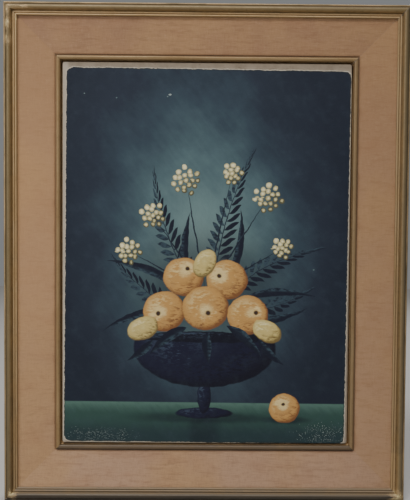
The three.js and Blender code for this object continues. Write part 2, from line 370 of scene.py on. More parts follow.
LEFT, RIGHT, LOW, HIGH = -1, 1, -1, 1
KNOCKS = [
    ((LEFT, HIGH, 0, 0, 36), 80, 0.66),
    ((LEFT, HIGH, 6, 12, 39), 18, 1.0),
    ((LEFT, HIGH, 6, 34, 39), 20, 1.05),
    ((LEFT, HIGH, 7, 60, 39), 18, 0.95),
    ((LEFT, HIGH, 34, 8, 39), 14, 0.9),
    ((LEFT, LOW, 14, 10, 38), 16, 0.95),
    ((RIGHT, LOW, 10, 8, 38), 26, 1.1),
    ((RIGHT, HIGH, 0, 0, 36), 20, 0.6),
]


def near_corner(side, end, across, along, rise):
    """A point inwards from a corner of the frame by two insets and at a rise, all in millimetres."""
    x = side * (half_width - across * MM)
    return x, -rise * MM, picture_z + end * (half_height - along * MM)


def wire_knocks(w, place):
    total = None
    for spot, reach, amount in KNOCKS:
        distance = w.vector("DISTANCE", place, near_corner(*spot), output="Value")
        near = w.smooth(distance, reach * MM, reach * 0.1 * MM, 0.0, amount)
        total = near if total is None else w.math("MAXIMUM", total, near)
    return total


def gilt(name, **colours):
    material, w, shader, place = start_material(name)
    given = {"Place": place, "Knocks": wire_knocks(w, place)}
    given.update({mark: w.stored(mark.lower()) for mark in MARKS})
    given.update({label.replace("_", " "): colour for label, colour in colours.items()})
    layers = w.group(gilding_group, given)
    for socket, layer in (("Base Color", "Color"), ("Roughness", "Roughness"), ("Metallic", "Metallic")):
        w.feed(shader.inputs[socket], layers[layer])
    set_bump(w, shader, layers["Height"], 0.35 * MM)
    return material


frame_gilt = gilt(
    "frame_gilding",
    Leaf=srgb(114, 99, 68),
    Warm_Leaf=srgb(162, 132, 88),
    Rubbed=srgb(192, 163, 122),
    Umber=srgb(134, 106, 74),
    Gesso=srgb(212, 192, 142),
    Grey=srgb(132, 116, 96),
)
slip_gilt = gilt(
    "slip_gilding",
    Leaf=srgb(132, 107, 71),
    Warm_Leaf=srgb(142, 113, 75),
    Rubbed=srgb(176, 148, 108),
    Umber=srgb(136, 105, 72),
    Gesso=srgb(196, 178, 146),
    Grey=srgb(96, 80, 64),
)
print("gilding:", frame_gilt.name, slip_gilt.name)

# %% [markdown]
# Bare softwood shows on the back of the gilt lengths, on the liner and on the stretcher. Its grain runs
# along each length, so the same group is turned for upright pieces. Long stretched noise makes the streaks,
# and thin dark lines make the late wood.

# %% Group and materials for bare wood
def build_grain_group():
    tree, w, given, put = start_group(
        "straight grain",
        {"Color": "colour", "Roughness": "number", "Height": "number"},
        vectors=["Place"],
        colours=["Pale", "Dark"],
    )
    along = w.stretch(given["Place"], (0.06, 1.0, 1.0))
    wander = w.noise(w.stretch(given["Place"], (0.5, 0.5, 0.5)), 9, 2)
    wave = {"Vector": along, "Scale": 110, "Distortion": wander * 16.0, "Detail": 2, "Detail Scale": 0.6}
    rings = w.out("Fac", "TexWave", wave, wave_type="BANDS", bands_direction="DIAGONAL")
    fibres = w.noise(along, 900, 4, 0.7)
    stain = w.noise(given["Place"], 7, 4, 0.6)
    colour = w.mix(w.smooth(rings, 0.35, 1.0) * 0.42, given["Pale"], given["Dark"])
    colour = w.mix(w.smooth(fibres, 0.45, 0.75) * 0.4, colour, given["Dark"])
    colour = w.mix(w.smooth(stain, 0.45, 0.75) * 0.35, colour, srgb(112, 84, 58))
    height = fibres * 0.7 + rings * 0.3
    put(Color=colour, Roughness=w.linear(fibres, 0, 1, 0.62, 0.85), Height=height)
    return tree


grain_group = build_grain_group()


def bare_wood(name, pale, dark, upright):
    material, w, shader, place = start_material(name)
    turn = math.pi / 2 if upright else 0.0
    turned = w.out("Vector", "Mapping", {"Vector": place, "Rotation": (0, turn, 0)})
    grain = w.group(grain_group, {"Place": turned, "Pale": pale, "Dark": dark})
    w.feed(shader.inputs["Base Color"], grain["Color"])
    w.feed(shader.inputs["Roughness"], grain["Roughness"])
    set_bump(w, shader, grain["Height"], 0.25 * MM)
    return material


SIDES = ("top", "right", "bottom", "left")


def is_upright(side):
    return side in ("left", "right")


def wood_pair(name, pale, dark):
    """The same wood for level pieces and for upright ones."""
    return [bare_wood(f"{name}_{i}", pale, dark, upright) for i, upright in enumerate((False, True))]


liner_woods = wood_pair("liner_wood", srgb(190, 158, 116), srgb(138, 100, 64))
pine_woods = wood_pair("pine", srgb(222, 192, 146), srgb(174, 130, 84))


def dress(node, materials):
    solid = bpy.data.objects[node]
    solid.data.materials.clear()
    for material in materials:
        solid.data.materials.append(material)


for side in SIDES:
    dress(f"liner_{side}", [liner_woods[is_upright(side)]])
    dress(f"stretcher_{side}", [pine_woods[is_upright(side)]])
print("bare wood on 8 nodes")

# %% [markdown]
# The hanging strip and its nails are thin plated steel, dull and lightly rusted. Brushed scratches run
# along the strip.

# %% Steel
def build_steel():
    material, w, shader, place = start_material("plated_steel")
    brushed = w.noise(w.stretch(place, (0.08, 1, 1)), 2600, 3, 0.6)
    rust = w.smooth(w.noise(place, 320, 5, 0.7), 0.56, 0.72)
    colour = w.mix(brushed * 0.5, srgb(150, 148, 142), srgb(196, 192, 184))
    w.feed(shader.inputs["Base Color"], w.mix(rust, colour, srgb(110, 70, 44)))
    w.feed(shader.inputs["Metallic"], 0.95 - rust * 0.85)
    w.feed(shader.inputs["Roughness"], brushed * 0.2 + w.blend(rust, 0.3, 0.75))
    set_bump(w, shader, brushed + rust, 0.05 * MM)
    return material


steel = build_steel()
for node in ("hanging_strip", "strip_nail_left", "strip_nail_right"):
    dress(node, [steel])
print("steel on the hanging strip and its nails")

# %% [markdown]
# Linen and canvas are both plain weaves: threads go over and under each other in turn. A thread's round
# back is the sine of its place across, and the sign of the product of the two sines says which thread is
# on top. Slubs, the thick places in hand-spun thread, are noise drawn out along the thread. The group is
# shared by the cloth on the liner and the cloth of the picture.

# %% Group for a plain weave
def build_weave_group():
    tree, w, given, put = start_group(
        "plain weave",
        {"Height": "number", "Thread": "number", "Slub": "number"},
        vectors=["Place"],
        Pitch=1 * MM,
        Looseness=0.5,
    )
    place = given["Place"]
    wander = w.vector("SUBTRACT", w.noise(place, 45, 3, output="Color"), (0.5, 0.5, 0.5))
    loose = given["Looseness"] * 0.0016
    drift = w.vector("MULTIPLY", wander, w.join(loose, 0.0, loose))
    moved = w.vector("ADD", place, drift)
    turns = math.pi / given["Pitch"]
    across = w.math("SINE", w.part(moved, 0) * turns)
    up = w.math("SINE", w.part(moved, 2) * turns)
    height = w.blend(w.smooth(across * up, -0.35, 0.35), abs(across), abs(up))
    level_slub = w.noise(w.stretch(place, (0.13, 1, 1)), 620, 3, 0.6)
    upright_slub = w.noise(w.stretch(place, (1, 1, 0.13)), 620, 3, 0.6)
    slub = w.blend(0.42, level_slub, upright_slub)
    put(Height=height + slub * 0.7, Thread=height, Slub=slub)
    return tree


weave_group = build_weave_group()
print("weave group:", len(weave_group.nodes), "nodes")

# %% [markdown]
# The linen is a warm, slightly pink beige. It is darkest along the slip and under the gilt bead, where dirt
# and old glue collect and painted shade falls, and has broad soft stains. Its level threads show as fine
# streaks. It is yellower on the upright strips. Painted shade makes it darker at the top than at the bottom
# and darker towards the right, and a warmer, paler patch at the left is painted light.

# %% Linen
def build_linen():
    material, w, shader, place = start_material("natural_linen")
    weave = w.group(weave_group, {"Place": place, "Pitch": 1.15 * MM, "Looseness": 0.8})
    broad = w.noise(place, 5.5, 4, 0.6)
    blotch = w.noise(w.stretch(place, (0.5, 1, 1)), 34, 4, 0.6)
    # Painted shade: the linen is lighter at the bottom and darker at the top.
    up = w.linear(w.part(place, 2), cad_box[0][2], cad_box[1][2])
    colour = w.mix(up, srgb(202, 165, 137), srgb(174, 134, 103))
    colour = w.mix(w.smooth(broad, 0.4, 0.64) * 0.6, colour, srgb(202, 160, 114))
    streaks = w.noise(w.stretch(place, (0.13, 1, 1)), 210, 3, 0.6)
    colour = w.mix(w.smooth(streaks, 0.5, 0.7) * 0.3, colour, srgb(140, 102, 74))
    colour = w.mix(w.smooth(blotch, 0.45, 0.75) * 0.35, colour, srgb(170, 124, 94))
    colour = w.mix(w.smooth(weave["Slub"], 0.48, 0.68) * 0.4, colour, srgb(150, 114, 84))
    colour = w.mix(w.smooth(weave["Slub"], 0.48, 0.32) * 0.35, colour, srgb(212, 176, 140))
    colour = w.mix(w.smooth(weave["Thread"], 0.6, 0.1) * 0.35, colour, srgb(116, 84, 58))
    colour = w.mix(w.stored("upright") * 0.28, colour, srgb(194, 152, 104))
    # Painted light: a warmer, paler patch at the left.
    from_lit_patch = w.vector("DISTANCE", place, (-290 * MM, 0.0, picture_z + 60 * MM), output="Value")
    colour = w.mix(w.smooth(from_lit_patch, 0.32, 0.05, 0.0, 0.3), colour, srgb(214, 166, 118))
    # Painted shade: the linen is darker towards the right, and more so near the right edge.
    level = w.part(place, 0)
    darkening = w.linear(level, -half_width, half_width, 0.0, 0.15)
    painted_right_shade = w.smooth(level, 0.5 * half_width, half_width, 0.0, 0.12)
    colour = w.mix(darkening + painted_right_shade, colour, srgb(96, 68, 44))
    # Dirt and painted shade along the slip and under the gilt bead.
    dirt_and_shade = w.smooth(w.stored("soil_and_shade") + (blotch - 0.5) * 0.6, 0.25, 1.0) * 0.75
    w.feed(shader.inputs["Base Color"], w.mix(dirt_and_shade, colour, srgb(120, 84, 56)))
    shader.inputs["Roughness"].default_value = 0.92
    shader.inputs["Specular IOR Level"].default_value = 0.2
    shader.inputs["Sheen Weight"].default_value = 0.25
    shader.inputs["Sheen Roughness"].default_value = 0.5
    set_bump(w, shader, weave["Height"], 0.45 * MM)
    return material


linen = build_linen()
print("linen:", linen.name)

# %% [markdown]
# Every length of moulding is the same job: draw the profile, draw it out into a bar, cut a mitre at each
# end, and turn the bar to its side of the picture. Cutting the long edges into short steps afterwards gives
# the surface enough points for hand-made unevenness and for dents. Profiles are lists of insets, measured
# inwards from the outside edge, and rises, measured forwards from the wall.

# %% Sizes that follow the solids
FIT_GAP = 0.3 * MM
GILT_MITRE_GAP = 0.12 * MM
LINEN_MITRE_GAP = 0.06 * MM

ARRIS_BEAD = 3.6 * MM
HUMP = 10.4 * MM
GROOVE = 1 * MM
MIDDLE_BEAD = 3 * MM
QUIRK = 0.8 * MM
SIGHT_BEAD = 2.8 * MM
SIGHT_EDGE = 0.4 * MM
FRAME_FACE = ARRIS_BEAD + HUMP + GROOVE + MIDDLE_BEAD + QUIRK + SIGHT_BEAD + SIGHT_EDGE
RABBET_WIDTH = 6 * MM
FRAME_BACK = FRAME_FACE - RABBET_WIDTH
SIDE_RISE = 31 * MM
CREST_RISE = 39 * MM

LINEN_FACE = 58 * MM
LINEN_OUTER_RISE = 30.2 * MM
LINEN_INNER_RISE = 23.5 * MM
LINEN_INSET = FRAME_FACE + LINEN_FACE
LINER_BACK_RISE = 10 * MM
LINEN_EDGE_RISE = LINER_BACK_RISE + 2 * MM
LINEN_FOLD = 1.5 * MM
CLOTH = 0.9 * MM

SLIP_GROOVE = 1.6 * MM
SLIP_BEAD = 6.9 * MM
SLIP_OUTER = LINEN_INSET + FIT_GAP
SLIP_CONTACT = LINEN_INSET + 0.05 * MM
SLIP_INNER = SLIP_OUTER + SLIP_GROOVE + SLIP_BEAD
LEDGE_RISE = 4.5 * MM
SLIP_BACK_RISE = 1 * MM
FLOAT_GAP = 3 * MM
CANVAS_INSET = SLIP_INNER + FLOAT_GAP
LEDGE_REACH = 10 * MM


def linen_rise(inset):
    slope = (LINEN_OUTER_RISE - LINEN_INNER_RISE) / LINEN_FACE
    return LINEN_OUTER_RISE - slope * (inset - FRAME_FACE)


RABBET_RISE = linen_rise(FRAME_BACK + FIT_GAP) + FIT_GAP
SIGHT_LIP = 1.9 * MM
SIGHT_RISE = RABBET_RISE + SIGHT_LIP
print("the linen starts", round(FRAME_FACE / MM, 1), "mm in and ends", round(LINEN_INSET / MM, 1), "mm in")

# %% [markdown]
# Profiles are made of straight runs, half-round beads and cubic curves. The curve helper steps along a
# cubic with two control points, and the bead helper along a half circle.

# %% Profile helpers
def cubic(start, first, second, end, steps):
    points = []
    for i in range(1, steps + 1):
        t = i / steps
        s = 1 - t
        shares = zip((start, first, second, end), (s**3, 3 * s * s * t, 3 * s * t * t, t**3))
        points.append(sum((Vector(p) * k for p, k in shares), Vector((0, 0))))
    return points


def half_round(start, end, rise, steps=12):
    radius = (end - start) / 2
    middle = start + radius
    angles = [math.pi * (1 - i / steps) for i in range(steps + 1)]
    return [Vector((middle + radius * math.cos(a), rise + radius * math.sin(a))) for a in angles]


def run(start, end, steps):
    start, end = Vector(start), Vector(end)
    return [start.lerp(end, i / steps) for i in range(steps + 1)]


def tidy(points):
    """Drop points that repeat the one before."""
    kept = []
    for point in (Vector(p) for p in points):
        if not kept or (point - kept[-1]).length > 1e-6:
            kept.append(point)
    return kept


# %% [markdown]
# The outer moulding has a bead on its outside edge, a broad hump, and two small beads by the linen. The
# slip has a groove, a rounded bead and, deep behind it, the ledge that the canvas rests on. The linen
# follows the slope of the liner and folds down over its inner edge.

# %% Profiles
def outer_profile():
    hump_start = ARRIS_BEAD
    hump_end = hump_start + HUMP
    bead_start = hump_end + GROOVE
    quirk_start = bead_start + MIDDLE_BEAD
    sight_start = quirk_start + QUIRK
    sight_end = sight_start + SIGHT_BEAD
    crest = Vector((hump_start + 0.56 * HUMP, CREST_RISE))
    valley = Vector((hump_start, SIDE_RISE))
    height = CREST_RISE - SIDE_RISE
    groove_rise = SIGHT_RISE - 0.5 * MM
    points = run((0, 0), (0, SIDE_RISE), 6)
    points += half_round(0, ARRIS_BEAD, SIDE_RISE)
    points += cubic(
        valley,
        (hump_start + 0.04 * HUMP, SIDE_RISE + 0.7 * height),
        (hump_start + 0.24 * HUMP, CREST_RISE),
        crest,
        12,
    )
    points += cubic(
        crest,
        (hump_start + 0.82 * HUMP, CREST_RISE),
        (hump_start + 0.97 * HUMP, SIDE_RISE + 0.6 * height),
        (hump_end, groove_rise),
        12,
    )
    points += [Vector((bead_start, groove_rise))]
    points += half_round(bead_start, quirk_start, SIGHT_RISE)
    points += half_round(sight_start, sight_end, SIGHT_RISE)
    points += [Vector((FRAME_FACE, SIGHT_RISE - SIGHT_EDGE / 2)), Vector((FRAME_FACE, RABBET_RISE))]
    points += [Vector((FRAME_BACK, RABBET_RISE)), Vector((FRAME_BACK, 0))]
    return tidy(points)


def slip_profile():
    groove_end = SLIP_OUTER + SLIP_GROOVE
    groove_rise = LINEN_INNER_RISE - 1.2 * MM
    inner_rise = 25 * MM
    crest_rise = 27.5 * MM
    crest = (groove_end + 0.4 * SLIP_BEAD, crest_rise)
    points = run((SLIP_CONTACT, SLIP_BACK_RISE), (SLIP_CONTACT, groove_rise), 3)
    points += [Vector((groove_end, groove_rise))]
    points += cubic(
        (groove_end, groove_rise),
        (groove_end, crest_rise - 0.2 * (crest_rise - groove_rise)),
        (groove_end + 0.12 * SLIP_BEAD, crest_rise),
        crest,
        10,
    )
    points += cubic(
        crest,
        (groove_end + 0.75 * SLIP_BEAD, crest_rise),
        (SLIP_INNER, crest_rise - 0.45 * (crest_rise - inner_rise)),
        (SLIP_INNER, inner_rise),
        10,
    )
    points += run((SLIP_INNER, inner_rise), (SLIP_INNER, LEDGE_RISE), 5)
    points += [Vector((CANVAS_INSET + LEDGE_REACH, LEDGE_RISE))]
    points += [Vector((CANVAS_INSET + LEDGE_REACH, SLIP_BACK_RISE))]
    return tidy(points)


def linen_profile():
    start = FRAME_BACK + FIT_GAP
    fold_end = LINEN_INSET - LINEN_FOLD
    inner = LINEN_INSET - CLOTH
    sight = linen_rise(LINEN_INSET)
    points = run((start, linen_rise(start)), (fold_end, linen_rise(fold_end)), 22)
    points += cubic(
        (fold_end, linen_rise(fold_end)),
        (LINEN_INSET - LINEN_FOLD / 3, sight),
        (LINEN_INSET, sight - LINEN_FOLD / 3),
        (LINEN_INSET, sight - LINEN_FOLD),
        5,
    )
    points += run((LINEN_INSET, sight - LINEN_FOLD), (LINEN_INSET, LINEN_EDGE_RISE), 4)
    points += [Vector((inner, LINEN_EDGE_RISE)), Vector((inner, linen_rise(inner) - CLOTH))]
    points += run((inner, linen_rise(inner) - CLOTH), (start, linen_rise(start) - CLOTH), 4)
    return tidy(points)


profiles = {"outer": outer_profile(), "slip": slip_profile(), "linen": linen_profile()}
print("points in each profile:", {name: len(points) for name, points in profiles.items()})

# %% [markdown]
# A point of the profile lies in a hollow when the profile is higher on both sides of it, and the glaze
# settles there. A bead is rubbed where it comes close to its own highest point. Both are worked out once on
# the profile, and every copy of a point along the bar inherits its numbers.

# %% Glaze, rubbing and warmth along a profile
LEAST_STEP = 0.2 * MM


def hollows(points, beside=(), reach=2.4 * MM, depth=4.2 * MM):
    """How deep each point lies below the profile on both sides of it."""
    everything = list(points) + [Vector(p) for p in beside]
    values = []
    for point in points:
        left = max((p.y for p in everything if LEAST_STEP < point.x - p.x <= reach), default=0)
        right = max((p.y for p in everything if LEAST_STEP < p.x - point.x <= reach), default=0)
        values.append(min(1.0, max(0.0, (min(left, right) - point.y) / depth)))
    return values


def rubbing(points, beads, depth):
    """One on the crown of each bead, given by its start and end, and less towards its foot."""
    values = [0.0] * len(points)
    for start, end, amount in beads:
        inside = [i for i, p in enumerate(points) if start <= p.x <= end and p.y > LEDGE_RISE]
        crown = max(points[i].y for i in inside)
        for i in inside:
            values[i] = amount * max(0.0, 1 - (crown - points[i].y) / depth)
    return values


def outer_marks(points):
    middle_bead = ARRIS_BEAD + HUMP + GROOVE
    sight_bead = middle_bead + MIDDLE_BEAD + QUIRK
    beads = [
        (0, ARRIS_BEAD, 0.9),
        (ARRIS_BEAD + 1 * MM, ARRIS_BEAD + HUMP, 0.12),
        (middle_bead, middle_bead + MIDDLE_BEAD, 0.85),
        (sight_bead, sight_bead + SIGHT_BEAD, 0.9),
    ]
    glaze = hollows(points)
    warmth = [min(1.0, max(0.0, (p.x - 9 * MM) / (5 * MM))) for p in points]
    bare = [float(p.y <= RABBET_RISE and (p.x >= FRAME_BACK or p.y == 0)) for p in points]
    return {"glaze": glaze, "rub": rubbing(points, beads, 1.4 * MM), "warmth": warmth, "bare": bare}


def slip_marks(points):
    bead_start = SLIP_OUTER + SLIP_GROOVE
    linen_edge = [(SLIP_OUTER - 0.5 * MM, 26 * MM)]
    glaze = hollows(points, beside=linen_edge)
    rub = rubbing(points, [(bead_start, SLIP_INNER, 0.6)], 2 * MM)
    in_gap = [p.x >= SLIP_INNER - 0.01 * MM and p.y < 22 * MM for p in points]
    bare = [float(p.y <= LEDGE_RISE or hidden) for p, hidden in zip(points, in_gap)]
    return {"glaze": glaze, "rub": rub, "warmth": [0.5] * len(points), "bare": bare}


def linen_marks(points):
    """Staining and painted shade near the gilt bead on the outside and near the slip on the inside."""
    soil_and_shade = []
    for point in points:
        outside = max(0.0, 1 - (point.x - FRAME_FACE) / (4 * MM))
        inside = max(0.0, 1 - (LINEN_INSET - point.x) / (10 * MM))
        soil_and_shade.append(max(0.25 * outside, 0.55 * inside))
    return {"soil_and_shade": soil_and_shade}


# %% [markdown]
# The bar is one extrusion of the profile. Two bisecting planes take off the mitres, and the cut ends are
# filled again. The long edges are then cut into steps with one subdivision.

# %% A mitred bar
FINE_STEP = 2.6 * MM
HUMP_INNER_SLOPE = ARRIS_BEAD + 0.9 * HUMP
LEFT_FOOT_REACH = 300 * MM
DUST_SHARE = {"top": 0.5, "right": 1.0, "bottom": 0.55, "left": 1.0}
# An even share over a whole side is dust and painted shade: the lower and right lengths are dulled by both.
DUST_AND_SHADE_ALL_OVER = {"top": 0.0, "right": 0.2, "bottom": 0.6, "left": 0.0}
# Grime on the right lengths and on the lower slip is grime and painted shade.
SLIP_GRIME_AND_SHADE = {"top": 0.0, "right": 0.22, "bottom": 0.42, "left": 0.0}
SIDE_TURNS = {side: turn * math.pi / 2 for turn, side in enumerate(SIDES)}


def made_verts(made):
    return [item for item in made["geom"] if isinstance(item, bmesh.types.BMVert)]


def turn_verts(bm, verts, angle, axis):
    bmesh.ops.rotate(bm, cent=(0, 0, 0), matrix=Matrix.Rotation(angle, 3, axis), verts=verts)


def round_off(bm, geom, offset, segments, affect="EDGES"):
    return bmesh.ops.bevel(
        bm, geom=geom, offset=offset, segments=segments, profile=0.5, affect=affect, material=-1
    )


def cut_across(bm, place, normal, clear_outer=False):
    everything = bm.verts[:] + bm.edges[:] + bm.faces[:]
    return bmesh.ops.bisect_plane(
        bm, geom=everything, dist=1e-7, plane_co=place, plane_no=normal, clear_outer=clear_outer
    )


def add_dirt_and_shade(bm, side):
    """Grey powder settles on what looks up, and an even share on the lower and right lengths is that powder
    together with painted shade. A dark brown layer, partly real staining and partly painted shade, darkens
    the lower length most on its hump and on the faces that look down, where shade falls, and more lightly
    the right lengths and the lower slip. The left length darkens towards its foot."""
    dust_and_shade, upright, grime_and_shade = (bm.verts.layers.float.new(name) for name in ("dust_and_shade", "upright", "grime_and_shade"))
    bm.normal_update()
    for vert in bm.verts:
        looks_up = vert.normal.z
        vert[upright] = float(is_upright(side))
        vert[dust_and_shade] = DUST_SHARE[side] * max(0.0, looks_up) + DUST_AND_SHADE_ALL_OVER[side]
        inset = vert.co.z - cad_box[0][2]
        # Grime and painted shade: the lower length's hump darkens most where its faces look down, where
        # shade falls.
        if side == "bottom" and inset < HUMP_INNER_SLOPE:
            vert[grime_and_shade] = min(1.0, max(0.45, 1.05 - 0.48 * looks_up))
        elif side == "bottom" and inset < LINEN_INSET:
            vert[grime_and_shade] = 0.2
        elif side == "left" and vert.co.x < -half_width + LINEN_INSET:
            vert[grime_and_shade] = 0.34 * max(0.0, 1 - inset / LEFT_FOOT_REACH)
        else:
            vert[grime_and_shade] = SLIP_GRIME_AND_SHADE[side] if inset > LINEN_INSET else 0.0


def mitred_bar(side, points, marks, step, mitre_gap):
    length, reach = (half_height, half_width) if is_upright(side) else (half_width, half_height)
    bm = bmesh.new()
    layers = {name: bm.verts.layers.float.new(name) for name in marks}
    start = [bm.verts.new((-length, -point.y, reach - point.x)) for point in points]
    for name, layer in layers.items():
        for vert, value in zip(start, marks[name]):
            vert[layer] = value
    face = bm.faces.new(start)
    drawn = bmesh.ops.extrude_face_region(bm, geom=[face], use_keep_orig=True)
    bmesh.ops.translate(bm, vec=(2 * length, 0, 0), verts=made_verts(drawn))
    setback = mitre_gap / math.sqrt(2)
    for end in (-1, 1):
        cut = cut_across(bm, (end * (length - setback), 0, reach), (end, 0, -1), clear_outer=True)
        edges = [item for item in cut["geom_cut"] if isinstance(item, bmesh.types.BMEdge)]
        bmesh.ops.holes_fill(bm, edges=edges, sides=0)
    long_edges = [e for e in bm.edges if abs(e.verts[0].co.x - e.verts[1].co.x) > length / 2]
    bmesh.ops.subdivide_edges(bm, edges=long_edges, cuts=round(2 * length / step), use_grid_fill=True)
    bmesh.ops.recalc_face_normals(bm, faces=bm.faces)
    turn_verts(bm, bm.verts, SIDE_TURNS[side], "Y")
    bmesh.ops.translate(bm, vec=(0, 0, picture_z), verts=bm.verts)
    add_dirt_and_shade(bm, side)
    return bm


trial = mitred_bar("top", profiles["outer"], outer_marks(profiles["outer"]), FINE_STEP, GILT_MITRE_GAP)
print("one gilt length has", len(trial.faces), "faces")
trial.free()

# %% [markdown]
# Hand-finished gesso is never quite straight. A slow noise moves the surface in by a tenth of a millimetre
# or so, along its normals. The dents are balls that push the surface in, near the corners.

# %% Unevenness and dents
def make_uneven(bm, amount, size):
    bm.normal_update()
    facing = [v for v in bm.verts if v.co.y < -2 * MM]
    moves = [(v, v.normal * amount * 0.5 * (noise.noise(v.co / size) - 1)) for v in facing]
    for vert, move in moves:
        vert.co += move


def dent(bm, centre, reach, depth):
    bm.normal_update()
    for vert in bm.verts:
        distance = (vert.co - centre).length
        if distance < reach:
            vert.co -= vert.normal * depth * (1 - (distance / reach) ** 2) ** 2


def finish_piece(bm, name, materials, smooth_angle=0.6):
    """Make the mesh and its object, smooth except along edges sharper than the angle, in radians."""
    bm.normal_update()
    for face in bm.faces:
        face.smooth = True
    for edge in bm.edges:
        edge.smooth = len(edge.link_faces) != 2 or edge.calc_face_angle(0.0) < smooth_angle
    mesh = bpy.data.meshes.new(name)
    bm.to_mesh(mesh)
    bm.free()
    piece = bpy.data.objects.new(name, mesh)
    bpy.context.collection.objects.link(piece)
    for material in materials:
        mesh.materials.append(material)
    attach(piece, "root")
    return piece


# %% [markdown]
# The four outer lengths come from one profile. Their dents lie near the corners, like the knocks in the
# gilding. Each takes the place of a solid of the same length.

# %% Gilt lengths of the outer moulding
FRAME_DENTS = [
    ((LEFT, HIGH, 5, 62, 39), 5, 0.9),
    ((LEFT, HIGH, 1, 24, 34), 4, 0.8),
    ((LEFT, HIGH, 30, 7, 38), 4, 0.6),
    ((RIGHT, LOW, 6, 5, 39), 5, 0.9),
    ((LEFT, LOW, 7, 6, 39), 5, 0.8),
    ((RIGHT, HIGH, 2, 120, 35), 4, 0.4),
]


def bare_wood_faces(bm):
    """Faces between bare points of the profile, at the back and inside the rabbet, are bare wood."""
    bare = bm.verts.layers.float["bare"]
    for face in bm.faces:
        if min(vert[bare] for vert in face.verts) > 0.5:
            face.material_index = 1


for side in SIDES:
    bar = mitred_bar(side, profiles["outer"], outer_marks(profiles["outer"]), FINE_STEP, GILT_MITRE_GAP)
    make_uneven(bar, 0.22 * MM, 34 * MM)
    for spot, reach, depth in FRAME_DENTS:
        dent(bar, Vector(near_corner(*spot)), reach * MM, depth * MM)
    bare_wood_faces(bar)
    woods = [frame_gilt, liner_woods[is_upright(side)]]
    piece = finish_piece(bar, f"gilt_moulding_{side}", woods)
    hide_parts(f"frame_{side}")
print("outer moulding: 4 gilt lengths")

# %% [markdown]
# The slip is made the same way, with finer unevenness. Its ledge and the lower part of its inner side are
# bare pine.

# %% Gilt lengths of the slip
for side in SIDES:
    bar = mitred_bar(side, profiles["slip"], slip_marks(profiles["slip"]), FINE_STEP, GILT_MITRE_GAP)
    make_uneven(bar, 0.16 * MM, 26 * MM)
    bare_wood_faces(bar)
    woods = [slip_gilt, pine_woods[is_upright(side)]]
    piece = finish_piece(bar, f"gilt_slip_{side}", woods)
    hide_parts(f"slip_{side}")
print("slip: 4 gilt lengths")

# %% [markdown]
# The linen is a strip of cloth for each side, glued to the wood, so it is modelled like a thin bar with the
# cloth's thickness. The glue holds it nearly flat, with slow waves of a few tenths of a millimetre.

# %% Linen strips
LINEN_STEP = 6 * MM
LINEN_STRIP = LINEN_INSET - FRAME_BACK - FIT_GAP + (LINEN_INNER_RISE - LINEN_EDGE_RISE)

for side in SIDES:
    strip = mitred_bar(side, profiles["linen"], linen_marks(profiles["linen"]), LINEN_STEP, LINEN_MITRE_GAP)
    for vert in strip.verts:
        vert.co.y -= 0.15 * MM * (1 + noise.noise(vert.co / (45 * MM)))
    cloth = finish_piece(strip, f"linen_cloth_{side}", [linen], smooth_angle=1.0)
    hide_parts(f"linen_{side}")
    outside = 2 * ((half_height if is_upright(side) else half_width) - FRAME_BACK)
    area = LINEN_STRIP * (outside - (LINEN_INSET - FRAME_BACK))
print("linen strips:", round(LINEN_STRIP / MM, 1), "mm wide")

# %% [markdown]
# The picture itself is a design of fruit in a footed dish with leafy sprigs. It is painted by nodes on the
# object's own coordinates, turned into millimetres on the picture plane, which sits very slightly turned on
# the canvas. A slow wobble bends every outline as a hand-held brush does.

# %% Group for the picture plane
CANVAS_TURN = math.radians(-0.4)


def build_plane_group():
    tree, w, given, put = start_group("picture plane", {"Plane": "vector"}, vectors=["Place"], Wobble=1.0)
    level = w.part(given["Place"], 0) / MM
    upright = (w.part(given["Place"], 2) - picture_z) / MM
    turned = w.turn(w.join(level, upright, 0.0), -CANVAS_TURN)
    bend = w.vector("SUBTRACT", w.noise(turned, 0.06, 3, output="Color"), (0.5, 0.5, 0.5))
    reach = given["Wobble"] * 5.0
    bend = w.vector("MULTIPLY", bend, w.join(reach, reach, 0.0))
    put(Plane=w.vector("ADD", turned, bend))
    return tree


plane_group = build_plane_group()

# %% [markdown]
# Most of the motifs are round: fruit, the bowl, its stem and foot, and soft shadows. One group paints an
# ellipse with light from the upper left, a darker far side and streaks that follow its form. A second group
# is the same with the eye of a quince: a pale hollow with a dark spot in it.

# %% Groups for painted rounds
ROUND_NUMBERS = {"Turn": 0.0, "Width": 30.0, "Height": 30.0, "Top": 2.0, "Soft": 0.06, "Strength": 1.0}


def start_motif(name, spots, colours, **numbers):
    """A group that paints one motif over the colour under it."""
    vectors = ["Plane", *spots]
    return start_group(name, {"Color": "colour"}, vectors, ["Under", *colours], Strokes=0.5, **numbers)


def wire_turn(w, given, start):
    """Move the plane to a motif's own start and turn it by the motif's angle."""
    moved = w.vector("SUBTRACT", given["Plane"], given[start])
    return moved, w.turn(moved, given["Turn"] * -1.0)


